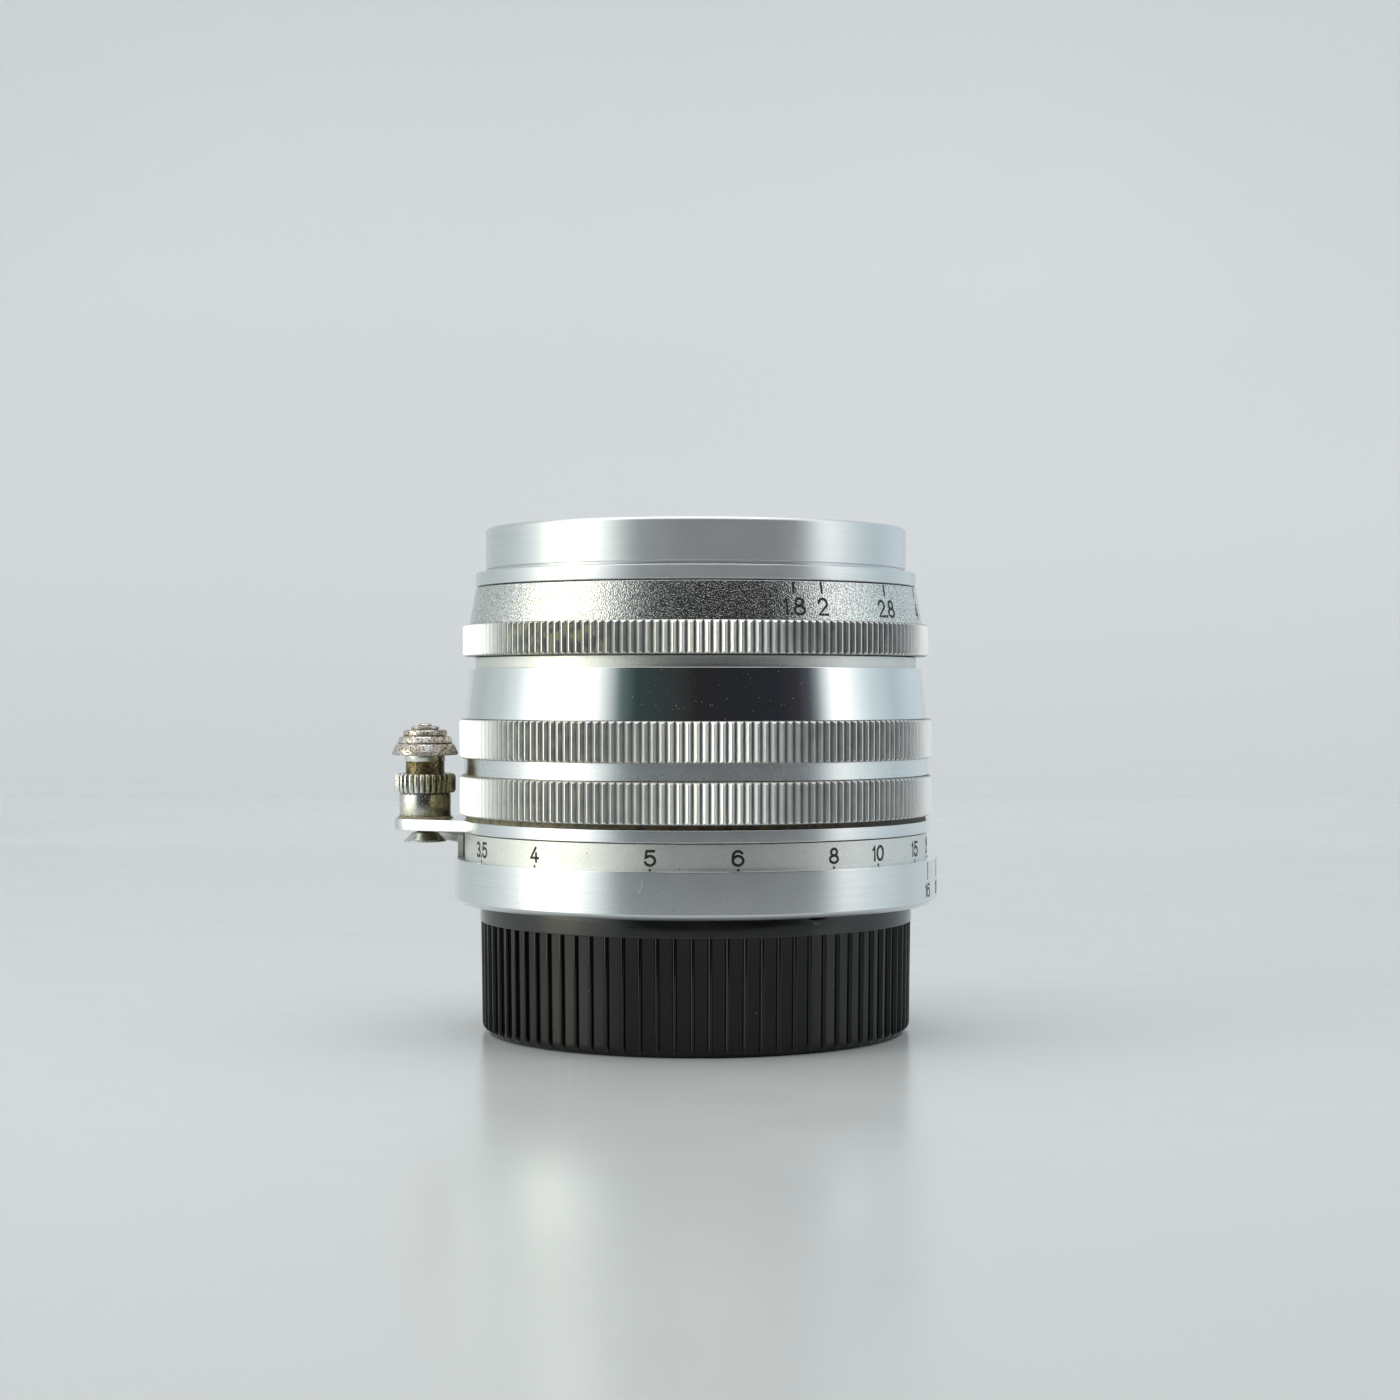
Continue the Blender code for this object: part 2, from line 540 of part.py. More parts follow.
def build_aperture(aperture):
    ring = turned("aperture_ring", [
        (INDEX_RING_R, APERTURE_TOP), (22.65, 40.5), (APERTURE_KNURL_R, 40.45),
        (APERTURE_KNURL_R, APERTURE_LOW), (19.6, APERTURE_LOW), (19.6, APERTURE_TOP)],
        OUTER_STEPS, SATIN, aperture)
    driver = turned("iris_driver", [(17.2, 41.0), (17.2, 30.05), (10.9, 30.05), (10.9, 30.6),
                                    (16.3, 30.6), (16.3, 41.0)], INNER_STEPS, BRASS, aperture)
    drill([ring, driver], "driver_hole", 0.5, 9.0, outward(15.5, DRIVER_AZIMUTH, DRIVER_HEIGHT))
    drill([ring], "driver_counterbore", 0.75, 3.0, outward(21.3, DRIVER_AZIMUTH, DRIVER_HEIGHT))
    screw_piece("driver_screw", 0.6, 0.9, 0.36, 5.05, aperture,
                spot(16.45, DRIVER_AZIMUTH, DRIVER_HEIGHT), (0.0, pi / 2, heading(DRIVER_AZIMUTH)))


def main():
    mount_body = body("mount_body")
    focus_body = body("focus_body", parent=mount_body)
    lock_body = body("lock_body", spot(LOCK_R, LOCK_AZIMUTH), focus_body)
    head_body = body("head_body", parent=mount_body)
    aperture_body = body("aperture_body", parent=head_body)
    build_cap()
    build_mount(mount_body)
    build_focus(focus_body, lock_body)
    build_head(head_body)
    build_blades(head_body)
    build_aperture(aperture_body)


main()
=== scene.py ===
"""Looks of a chrome screw-mount camera lens that stands front up on its ribbed black rear cap.

Metres, +Z up along the lens axis. Azimuths are in degrees about +Z: 0 is the front (-Y) and 90 is +X.
Profiles and sizes in the tables are in millimetres.
"""

from math import atan2, cos, degrees, hypot, pi, radians, sin

import bmesh
import bpy
from mathutils import Matrix, Vector, noise


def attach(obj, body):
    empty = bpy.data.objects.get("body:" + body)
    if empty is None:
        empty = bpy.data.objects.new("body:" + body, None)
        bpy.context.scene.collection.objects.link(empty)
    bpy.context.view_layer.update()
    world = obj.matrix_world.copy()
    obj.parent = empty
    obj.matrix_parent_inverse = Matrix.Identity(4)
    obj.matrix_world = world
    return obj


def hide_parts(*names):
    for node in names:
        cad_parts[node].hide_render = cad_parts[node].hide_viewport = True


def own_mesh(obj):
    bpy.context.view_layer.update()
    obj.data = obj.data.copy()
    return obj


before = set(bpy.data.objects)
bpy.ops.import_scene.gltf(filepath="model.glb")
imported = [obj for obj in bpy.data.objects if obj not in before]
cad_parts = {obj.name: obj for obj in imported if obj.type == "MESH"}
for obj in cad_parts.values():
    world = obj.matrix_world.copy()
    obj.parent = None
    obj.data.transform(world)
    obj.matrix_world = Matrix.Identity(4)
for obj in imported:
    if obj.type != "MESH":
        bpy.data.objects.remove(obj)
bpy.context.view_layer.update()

MM = 0.001
ROUND = 256

# Outside of the lens. Heights and radii follow the CAD model to a few hundredths.
CAP_R = 21.57
CAP_TOP = 12.9
DEPTH_RING_R = 24.1
FLANGE = 12.97
DEPTH_RING_TOP = 17.43
DISTANCE_RING_R = 23.12
DISTANCE_RING_LOW = 17.2
DISTANCE_RING_TOP = 19.89
LEVER_LOW = 20.0
LEVER_TOP = 21.15
LEVER_R = 23.35
GRIP_LOW = 21.6
KNURL_R = 23.67
CONE_LOW = 31.2
CONE_TOP = 36.1
CONE_LOW_R = 23.1
CONE_TOP_R = 22.6
NECK_R = 22.05
NECK_TOP = 37.2
APERTURE_LOW = 37.3
APERTURE_KNURL_R = 23.3
SCALE_LOW = 40.5
SCALE_TOP = 44.1
SCALE_LOW_R = 22.65
SCALE_TOP_R = 22.0
INDEX_RING_R = 22.0
INDEX_TOP = 45.6
RIM_LOW = 45.95
RIM_R = 21.0
FRONT = 50.0

# Infinity lock at the left.
LOCK_R = 27.2
LOCK_AZIMUTH = -90.0
TAB_END_R = 3.06
TAB_TAPER = 22.0

INDEX_AZIMUTH = 102.3
DRIVER_AZIMUTH = 150.0
DRIVER_HEIGHT = 39.0
CAMERA_PITCH = 0.977
FILTER_PITCH = 0.5


# ---------------------------------------------------------------- geometry helpers

def point(radius, azimuth, height):
    """Place in metres of a point round the lens axis."""
    turn = radians(azimuth)
    return Vector((radius * sin(turn) * MM, -radius * cos(turn) * MM, height * MM))


def even(count=ROUND):
    """Plain columns round the axis, with no grooves."""
    return [(360.0 * i / count, 0.0) for i in range(count)]


def toothed(count, phase, knots):
    """Columns of count equal teeth. Knots are (share of the pitch, share of the groove's depth)."""
    pitch = 360.0 / count
    return [(phase + pitch * (k + u), share) for k in range(count) for u, share in knots]


def ring(rows, columns, groove=None, closed=True):
    """Mesh of a body turned about the axis.

    Rows are (radius, height) or (radius, height, depth, lift). At a column's share, or where
    groove(azimuth, height) says, the row moves in by depth and up by lift. Rows join in a loop,
    or end in flat discs if not closed.
    """
    shape = bmesh.new()
    grid = []
    for row in rows:
        radius, height, depth, lift = (tuple(row) + (0.0, 0.0))[:4]
        line = []
        for azimuth, share in columns:
            if groove and depth:
                share = groove(azimuth, height)
            line.append(shape.verts.new(point(radius - depth * share, azimuth, height + lift * share)))
        grid.append(line)
    count = len(columns)
    following = grid[1:] + grid[:1] if closed else grid[1:]
    for low, high in zip(grid, following):
        for i in range(count):
            j = (i + 1) % count
            shape.faces.new((low[i], low[j], high[j], high[i]))
    if not closed:
        shape.faces.new(grid[0])
        shape.faces.new(grid[-1])
    return closed_mesh(shape)


def thread(pitch):
    """Groove function of a V thread that rises by its pitch, in mm, in one turn."""
    def groove(azimuth, height):
        turn = (height / pitch - azimuth / 360.0) % 1.0
        return abs(2.0 * turn - 1.0)
    return groove


def closed_mesh(shape):
    """Mesh of a finished closed body, its faces turned outward."""
    bmesh.ops.recalc_face_normals(shape, faces=shape.faces)
    mesh = bpy.data.meshes.new("body")
    shape.to_mesh(mesh)
    shape.free()
    return mesh


def soften(profile, size=0.06, closed=True):
    """Profile with each corner turned into a small round of three points."""
    made = []
    count = len(profile)
    for i, place in enumerate(profile):
        if not closed and i in (0, count - 1):
            made.append(place)
            continue
        here = Vector(place)
        back = Vector(profile[i - 1]) - here
        ahead = Vector(profile[(i + 1) % count]) - here
        if abs(back.angle(ahead) - pi) < 0.25:
            made.append(place)
            continue
        back = back.normalized() * min(size, 0.35 * back.length)
        ahead = ahead.normalized() * min(size, 0.35 * ahead.length)
        made += [tuple(here + back), tuple(here + (back + ahead) * 0.293), tuple(here + ahead)]
    return made


def node_profile(node):
    """Profile in mm of a turned CAD node, cut on the +X side: a loop, or a line from axis to axis."""
    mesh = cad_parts[node].data
    links = {}
    for edge in mesh.edges:
        ends = [mesh.vertices[i].co for i in edge.vertices]
        if all(abs(end.y) < 1e-6 and end.x > -1e-6 for end in ends):
            a, b = ((round(end.x / MM, 3), round(end.z / MM, 3)) for end in ends)
            if a != b and not a[0] == b[0] == 0.0:
                links.setdefault(a, set()).add(b)
                links.setdefault(b, set()).add(a)
    ends = sorted(place for place in links if len(links[place]) == 1)
    place = ends[0] if ends else min(links)
    path = [place]
    before = None
    while True:
        ahead = [n for n in sorted(links[place]) if n != before]
        if not ahead or ahead[0] == path[0]:
            break
        before, place = place, ahead[0]
        path.append(place)
    return path, not ends


def respun(node, count=160, size=0.05):
    """Fine mesh of a turned CAD node, with its sharp corners slightly rounded."""
    path, closed = node_profile(node)
    if not closed:
        path[0] = (0.02, path[0][1])
        path[-1] = (0.02, path[-1][1])
    return ring(soften(path, size, closed), even(count), closed=closed)


def flat_outline(outlines, low, high, edge=0.05):
    """Mesh of a flat shape with round edges. The first outline of (x, y) in mm is the outside."""
    curve = bpy.data.curves.new("outline", "CURVE")
    curve.dimensions = "2D"
    curve.fill_mode = "BOTH"
    curve.extrude = ((high - low) / 2 - edge) * MM
    curve.bevel_depth = edge * MM
    curve.bevel_resolution = 2
    curve.offset = -edge * MM
    for outline in outlines:
        line = curve.splines.new("POLY")
        line.use_cyclic_u = True
        line.points.add(len(outline) - 1)
        for corner, (x, y) in zip(line.points, outline):
            corner.co = (x * MM, y * MM, 0.0, 1.0)
    item = bpy.data.objects.new("outline", curve)
    bpy.context.scene.collection.objects.link(item)
    graph = bpy.context.evaluated_depsgraph_get()
    mesh = bpy.data.meshes.new_from_object(item.evaluated_get(graph))
    bpy.data.objects.remove(item)
    mesh.transform(Matrix.Translation((0.0, 0.0, (low + high) / 2 * MM)))
    shape = bmesh.new()
    shape.from_mesh(mesh)
    bmesh.ops.remove_doubles(shape, verts=shape.verts, dist=1e-7)
    return closed_mesh(shape)


def arc(radius, start, end, steps, centre=(0.0, 0.0)):
    """Points in mm along an arc between two angles from +X, both ends included."""
    angles = [radians(start + (end - start) * i / steps) for i in range(steps + 1)]
    return [(centre[0] + radius * cos(a), centre[1] + radius * sin(a)) for a in angles]


def piece(name, mesh, surface, body, nodes=(), shift=None, crisp=40.0):
    """A shown piece that rides on a CAD body and stands for CAD nodes."""
    mesh.name = name
    if shift:
        mesh.transform(Matrix.Translation(shift))
    mesh.materials.append(surface)
    mesh.shade_smooth()
    mesh.set_sharp_from_angle(angle=radians(crisp))
    item = bpy.data.objects.new(name, mesh)
    bpy.context.scene.collection.objects.link(item)
    weights = item.modifiers.new("even shading", "WEIGHTED_NORMAL")
    weights.keep_sharp = True
    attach(item, body)
    if nodes:
        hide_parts(*nodes)
    return item


def fine_copy(node, surface, body):
    """Shown piece for a turned CAD node, finer than the node and with softer corners."""
    return piece(node + "_fine", respun(node), surface, body, [node])


def cut(mesh, tool_mesh):
    """Mesh with the tool's shape taken away."""
    item = bpy.data.objects.new("cut_body", mesh)
    tool = bpy.data.objects.new("cut_tool", tool_mesh)
    for made in (item, tool):
        bpy.context.scene.collection.objects.link(made)
    step = item.modifiers.new("cut", "BOOLEAN")
    step.operation = "DIFFERENCE"
    step.solver = "EXACT"
    step.object = tool
    graph = bpy.context.evaluated_depsgraph_get()
    result = bpy.data.meshes.new_from_object(item.evaluated_get(graph))
    bpy.data.objects.remove(item)
    bpy.data.objects.remove(tool)
    return result


def rod(radius, length, matrix, sides=32):
    """Cylinder whose axis runs from the matrix's origin along its local +Z. Sizes in mm."""
    shape = bmesh.new()
    middle = matrix @ Matrix.Translation((0.0, 0.0, length / 2 * MM))
    bmesh.ops.create_cone(shape, cap_ends=True, segments=sides, radius1=radius * MM,
                          radius2=radius * MM, depth=length * MM, matrix=middle)
    return closed_mesh(shape)


def outward(radius, azimuth, height):
    """Matrix at a place round the axis, its +Z pointing straight out from the lens axis."""
    turn = Matrix.Rotation(radians(azimuth - 90.0), 4, "Z")
    return Matrix.Translation(point(radius, azimuth, height)) @ turn @ Matrix.Rotation(pi / 2, 4, "Y")


# ---------------------------------------------------------------- material helpers

def add(tree, kind, settings=None, **inputs):
    """New node. Inputs are named by their socket, with _ for a space."""
    made = tree.nodes.new(kind)
    for key, value in (settings or {}).items():
        setattr(made, key, value)
    for key, value in inputs.items():
        feed(made.inputs[key.replace("_", " ")], value)
    return made


def feed(target, value):
    """Link a socket to an input, or set the input's own value."""
    if isinstance(value, bpy.types.NodeSocket):
        target.id_data.links.new(value, target)
    else:
        target.default_value = value


def maths(operation, *values):
    """Result of a Math node on two or three values, at least one of them a socket."""
    tree = next(value.id_data for value in values if isinstance(value, bpy.types.NodeSocket))
    made = add(tree, "ShaderNodeMath", {"operation": operation})
    for target, value in zip(made.inputs, values):
        feed(target, value)
    return made.outputs[0]


def times(first, second):
    """Product of two values."""
    return maths("MULTIPLY", first, second)


def plus(first, second):
    """Sum of two values."""
    return maths("ADD", first, second)


def span(value, low, high, to_low=0.0, to_high=1.0):
    """Value mapped smoothly from low..high to to_low..to_high."""
    made = add(value.id_data, "ShaderNodeMapRange", {"interpolation_type": "SMOOTHSTEP"}, Value=value,
               From_Min=low, From_Max=high, To_Min=to_low, To_Max=to_high)
    return made.outputs["Result"]


def mix(share, first, second):
    """Colour between two colours, each an RGB tuple or a socket."""
    made = add(share.id_data, "ShaderNodeMix", {"data_type": "RGBA"})
    feed(made.inputs[0], share)
    for target, value in ((made.inputs[6], first), (made.inputs[7], second)):
        feed(target, value if isinstance(value, bpy.types.NodeSocket) else (*value, 1.0))
    return made.outputs[2]


def surface(name, colour, roughness, metallic, **even_values):
    """New material with its even values on the shader's own sockets.

    Returns the material, its shader and the object coordinates, in metres in the row frame.
    """
    made = bpy.data.materials.new(name)
    made.use_nodes = True
    shader = made.node_tree.nodes["Principled BSDF"]
    shader.inputs["Base Color"].default_value = (*colour, 1.0)
    shader.inputs["Roughness"].default_value = roughness
    shader.inputs["Metallic"].default_value = metallic
    for key, value in even_values.items():
        shader.inputs[key.replace("_", " ")].default_value = value
    return made, shader, place_of(made.node_tree)


def place_of(tree):
    """Object coordinates, in metres in the row frame."""
    return add(tree, "ShaderNodeTexCoord").outputs["Object"]


def parts_of(vector):
    """The X, Y and Z sockets of a vector."""
    return add(vector.id_data, "ShaderNodeSeparateXYZ", Vector=vector).outputs


def cylinder_of(place):
    """Radius in metres, height in metres and the unit direction from the axis, of a place."""
    tree = place.id_data
    parts = parts_of(place)
    flat = add(tree, "ShaderNodeCombineXYZ", X=parts["X"], Y=parts["Y"]).outputs[0]
    size = add(tree, "ShaderNodeVectorMath", {"operation": "LENGTH"}, Vector=flat)
    way = add(tree, "ShaderNodeVectorMath", {"operation": "NORMALIZE"}, Vector=flat)
    return size.outputs["Value"], parts["Z"], parts_of(way.outputs["Vector"])


def grain(place, scale, detail=2.0, rough=0.6):
    """Noise value at a place; scale is in features per metre."""
    made = add(place.id_data, "ShaderNodeTexNoise", Vector=place, Scale=scale, Detail=detail, Roughness=rough)
    return made.outputs["Fac"]


def turning(place, pitch):
    """Noise drawn out round the axis, as a lathe leaves it. Pitch is in lines per metre."""
    radius, height, way = cylinder_of(place)
    lines = times(plus(height, radius), pitch)
    seed = add(place.id_data, "ShaderNodeCombineXYZ", X=way["X"], Y=way["Y"], Z=lines)
    return grain(seed.outputs[0], 1.0, 3.0, 0.7)


def specks(place, scale, size, share):
    """1 on small scattered spots, 0 elsewhere. Scale is in cells per metre, size in cells."""
    cells = add(place.id_data, "ShaderNodeTexVoronoi", Vector=place, Scale=scale)
    colour = add(place.id_data, "ShaderNodeSeparateColor", Color=cells.outputs["Color"]).outputs
    near = maths("LESS_THAN", cells.outputs["Distance"], times(colour[1], size))
    return times(maths("LESS_THAN", colour[0], share), near)


def dress(shader, **values):
    """Feed values to a shader's inputs, named by their socket, with _ for a space."""
    for key, value in values.items():
        feed(shader.inputs[key.replace("_", " ")], value)


def bump(shader, height, distance):
    """Bump from a 0..1 height; distance is in mm."""
    made = add(shader.id_data, "ShaderNodeBump", Height=height, Distance=distance * MM)
    feed(shader.inputs["Normal"], made.outputs["Normal"])


# ---------------------------------------------------------------- materials

def mirror_chrome():
    """Bright plated chrome, buffed, with fine dust and the faintest turning."""
    made, shader, place = surface("mirror_chrome", (0.80, 0.82, 0.84), 0.05, 1.0)
    marks = maths("MAXIMUM", specks(place, 3800.0, 0.16, 0.35), specks(place, 900.0, 0.06, 0.15))
    smear = grain(place, 260.0, 4.0)
    lines = turning(place, 9000.0)
    rough = plus(span(smear, 0.35, 0.75, 0.05, 0.10), times(marks, 0.4))
    dress(shader, Roughness=rough)
    tint = mix(span(smear, 0.4, 0.8, 0.0, 0.35), (0.80, 0.82, 0.84), (0.74, 0.75, 0.755))
    dress(shader, Base_Color=mix(marks, tint, (0.62, 0.62, 0.60)),
          Metallic=maths("SUBTRACT", 1.0, times(marks, 0.5)))
    bump(shader, lines, 0.0006)
    return made


def turned_chrome():
    """Plated rings left with fine lathe lines, so that highlights spread up and down."""
    made, shader, place = surface("turned_chrome", (0.80, 0.82, 0.84), 0.32, 1.0, Anisotropic=0.88,
                                  Anisotropic_Rotation=0.25)
    tangent = add(place.id_data, "ShaderNodeTangent", {"direction_type": "RADIAL", "axis": "Z"})
    dress(shader, Tangent=tangent.outputs[0])
    lines = turning(place, 14000.0)
    dark = specks(place, 1500.0, 0.10, 0.16)
    smear = grain(place, 300.0, 4.0)
    shade = mix(span(lines, 0.3, 0.7), (0.78, 0.80, 0.82), (0.84, 0.86, 0.88))
    dress(shader, Base_Color=mix(dark, shade, (0.30, 0.27, 0.22)))
    parts = parts_of(place)
    rough = plus(span(smear, 0.3, 0.75, 0.0, 0.03), span(parts["Z"], 0.018, 0.044, 0.225, 0.37))
    dress(shader, Roughness=rough)
    bump(shader, lines, 0.0008)
    return made


def satin_chrome(name, scale, dark, light, low, high, relief):
    """Chrome over a blasted surface: a sparkling grain of the given scale, in grains per metre."""
    made, shader, place = surface(name, light, (low + high) / 2, 1.0)
    fine = grain(place, scale, 1.0, 0.5)
    cloud = grain(place, 350.0, 4.0)
    dust = specks(place, 1300.0, 0.09, 0.2)
    shade = mix(span(fine, 0.40, 0.60), dark, light)
    stain = tuple(0.82 * c for c in light)
    worn = mix(span(cloud, 0.5, 0.8, 0.0, 0.4), shade, stain)
    dress(shader, Base_Color=mix(dust, worn, (0.16, 0.14, 0.11)),
          Roughness=span(cloud, 0.3, 0.7, low, high))
    bump(shader, fine, relief)
    return made


def knurl_chrome(name, outside, grime):
    """Chrome on cut teeth of an outside radius in mm, with grease in the grooves at the left and painted
    shade at the bottom of every groove.
    """
    made, shader, place = surface(name, (0.90, 0.90, 0.89), 0.30, 1.0)
    radius, way = cylinder_of(place)[::2]
    deep = outside - 0.24
    down = span(radius, (outside - 0.05) * MM, deep * MM)
    patch = grain(place, 700.0, 4.0, 0.7)
    left = times(span(way["X"], -0.30, -0.45, 0.05, 1.0), span(way["X"], -0.80, -0.72))
    dirt = times(times(down, times(span(patch, 0.48, 0.60), left)), grime)
    dust = specks(place, 1500.0, 0.07, 0.12)
    # Painted shade: the base colour turns dark near the bottom of every groove, all the way round.
    valley_painted_shade = span(radius, (deep + 0.10) * MM, (deep - 0.02) * MM, 0.0, 0.80)
    shade = mix(valley_painted_shade, (0.91, 0.91, 0.90), (0.26, 0.25, 0.23))
    shade = mix(dirt, shade, (0.36, 0.33, 0.15))
    dress(shader, Base_Color=mix(dust, shade, (0.25, 0.22, 0.16)),
          Roughness=plus(times(dirt, 0.3), span(patch, 0.3, 0.7, 0.32, 0.40)))
    dress(shader, Metallic=maths("SUBTRACT", 1.0, times(dirt, 0.9)))
    bump(shader, grain(place, 6000.0, 3.0), 0.006)
    return made


def worn_nickel(name, rust_from, right_shade_share):
    """Nickel with brown pits and dulled patches and brown stains at its foot, with painted shade that turns
    it dark olive towards the right, the side away from the bright light at the left.
    """
    made, shader, place = surface(name, (0.62, 0.60, 0.53), 0.25, 1.0)
    pits = grain(place, 5600.0, 3.0, 0.7)
    patch = grain(place, 620.0, 4.0, 0.65)
    parts = parts_of(place)
    rust = span(pits, rust_from, rust_from + 0.07)
    # Painted shade: a dark olive base colour on the right (+X) side, away from the bright left light.
    right_side_painted_shade = span(plus(parts["X"], times(patch, 0.0014)), -0.0272, -0.0252, 0.0, right_shade_share)
    height = parts["Z"]
    low = times(span(height, 0.0217, 0.0213), span(height, 0.0205, 0.0209))
    low = times(low, span(pits, 0.36, 0.50))
    shade = mix(span(patch, 0.42, 0.66), (0.82, 0.82, 0.80), (0.60, 0.56, 0.48))
    shade = mix(right_side_painted_shade, shade, (0.20, 0.18, 0.085))
    shade = mix(rust, shade, (0.19, 0.065, 0.035))
    dress(shader, Base_Color=mix(low, shade, (0.17, 0.115, 0.05)))
    marks = maths("MAXIMUM", rust, low)
    dress(shader, Metallic=maths("SUBTRACT", 1.0, times(marks, 0.75)),
          Roughness=plus(span(patch, 0.3, 0.7, 0.20, 0.34), times(marks, 0.35)))
    bump(shader, maths("SUBTRACT", 1.0, rust), 0.020)
    return made


def old_grease():
    """Brown grease packed in a gap, with painted light that makes it paler and greener to the left, towards
    the bright light.
    """
    made, shader, place = surface("old_grease", (0.03, 0.022, 0.012), 0.5, 0.0)
    patch = grain(place, 900.0, 5.0, 0.7)
    base = mix(span(patch, 0.40, 0.66), (0.020, 0.016, 0.012), (0.12, 0.08, 0.03))
    parts = parts_of(place)
    # Painted light: a paler, greener base colour on the left (-X) side, which faces the bright light.
    left_painted_light = times(span(parts["X"], -0.006, -0.018), span(patch, 0.34, 0.62, 0.25, 1.0))
    dress(shader, Base_Color=mix(left_painted_light, base, (0.31, 0.28, 0.17)),
          Roughness=span(patch, 0.3, 0.7, 0.4, 0.7))
    bump(shader, patch, 0.05)
    return made


def aged_brass(name, colour, dark, low=0.25):
    """Turned brass with brown stains and dark pinpricks."""
    made, shader, place = surface(name, colour, low + 0.05, 1.0)
    patch = grain(place, 700.0, 5.0, 0.65)
    prick = span(grain(place, 5200.0, 3.0), 0.50, 0.60)
    shade = mix(span(patch, 0.42, 0.62), colour, dark)
    dress(shader, Base_Color=mix(prick, shade, tuple(0.45 * c for c in dark)),
          Roughness=span(patch, 0.35, 0.65, low, low + 0.2))
    bump(shader, turning(place, 7000.0), 0.003)
    return made


def cap_plastic(name, base, ior):
    """Glossy black moulded plastic with dust and faint flow marks."""
    made, shader, place = surface(name, base, 0.12, 0.0, IOR=ior)
    smear = grain(place, 240.0, 4.0, 0.6)
    fine = grain(place, 4200.0, 3.0)
    dust = specks(place, 900.0, 0.07, 0.25)
    fuzz = specks(place, 2100.0, 0.10, 0.08)
    pale = maths("MAXIMUM", times(dust, 0.45), times(fuzz, 0.25))
    shade = mix(span(smear, 0.4, 0.75), base, tuple(1.8 * c for c in base))
    dress(shader, Base_Color=mix(pale, shade, (0.42, 0.42, 0.40)),
          Roughness=plus(span(smear, 0.3, 0.75, 0.08, 0.14), times(pale, 0.5)))
    bump(shader, fine, 0.0015)
    return made


def black_anodised():
    """Matt black turned metal."""
    made, shader, place = surface("black_anodised_turned", (0.016, 0.016, 0.017), 0.45, 0.0)
    lines = turning(place, 6000.0)
    dust = specks(place, 800.0, 0.10, 0.25)
    base = mix(span(lines, 0.3, 0.7), (0.012, 0.012, 0.013), (0.026, 0.026, 0.027))
    dress(shader, Base_Color=mix(dust, base, (0.22, 0.22, 0.21)),
          Roughness=span(lines, 0.3, 0.7, 0.36, 0.52))
    bump(shader, lines, 0.010)
    return made


def plain_metal(name, colour, low, high, pitch=7000.0):
    """Machined metal with lathe lines."""
    made, shader, place = surface(name, colour, (low + high) / 2, 1.0)
    lines = turning(place, pitch)
    dark = tuple(0.8 * c for c in colour)
    dress(shader, Base_Color=mix(span(lines, 0.3, 0.7), dark, colour),
          Roughness=span(lines, 0.3, 0.7, low, high))
    bump(shader, lines, 0.004)
    return made


def blade_steel():
    """Blued steel leaves with a straight rolled grain and a touch of oil."""
    made, shader, place = surface("blued_steel_leaf", (0.05, 0.05, 0.06), 0.4, 1.0)
    patch = grain(place, 500.0, 4.0)
    dress(shader, Base_Color=mix(span(patch, 0.35, 0.7), (0.045, 0.048, 0.06), (0.10, 0.09, 0.08)),
          Roughness=span(patch, 0.3, 0.7, 0.28, 0.5))
    bump(shader, grain(place, 9000.0, 2.0), 0.003)
    return made


def coated_glass():
    """Clear optical glass with a bluish coating, dust and faint haze."""
    made, shader, place = surface("coated_optical_glass", (0.97, 0.98, 1.0), 0.0, 0.0, IOR=1.6,
                                  Transmission_Weight=1.0, Specular_Tint=(0.62, 0.60, 1.0, 1.0))
    haze = grain(place, 300.0, 4.0)
    dust = specks(place, 600.0, 0.06, 0.20)
    dress(shader, Roughness=plus(span(haze, 0.5, 0.8, 0.0, 0.03), times(dust, 0.4)))
    return made


def black_fill():
    """Matt black filling of the engraved marks."""
    made, shader, place = surface("black_filling", (0.012, 0.012, 0.013), 0.5, 0.0)
    patch = grain(place, 3000.0, 4.0)
    dress(shader, Base_Color=mix(span(patch, 0.4, 0.75), (0.009, 0.009, 0.010), (0.045, 0.042, 0.038)))
    bump(shader, patch, 0.01)
    return made


def pale_table():
    """Smooth pale table top, faintly glossy, with painted shade darkest in a band just behind the lens, and
    painted light that turns it paler towards the wall and up it.
    """
    made, shader, place = surface("pale_table", (0.66, 0.70, 0.72), 0.22, 0.0, Specular_IOR_Level=0.30)
    cloud = grain(place, 30.0, 3.0)
    parts = parts_of(place)
    near = mix(cloud, (0.605, 0.629, 0.631), (0.615, 0.639, 0.641))
    # Painted shade: darker from just in front of the lens to a band 0.1 m behind it, then painted light
    # making it paler again towards the wall.
    flat = mix(span(parts["Y"], -0.06, 0.10), near, (0.550, 0.573, 0.577))
    flat = mix(span(parts["Y"], 0.10, 0.55), flat, (0.618, 0.642, 0.648))
    # Painted light: paler up the wall.
    wall_painted_light = maths("POWER", span(parts["Z"], 0.0, 0.12), 0.5)
    dress(shader, Base_Color=mix(wall_painted_light, flat, (0.678, 0.700, 0.712)),
          Roughness=span(cloud, 0.3, 0.7, 0.20, 0.26))
    return made


# ---------------------------------------------------------------- markings

def loop(cx, cy, rx, ry, start, end, steps=16):
    """Points of part of an ellipse; angles from +X, in degrees."""
    angles = [radians(start + (end - start) * i / steps) for i in range(steps + 1)]
    return [(cx + rx * cos(a), cy + ry * sin(a)) for a in angles]


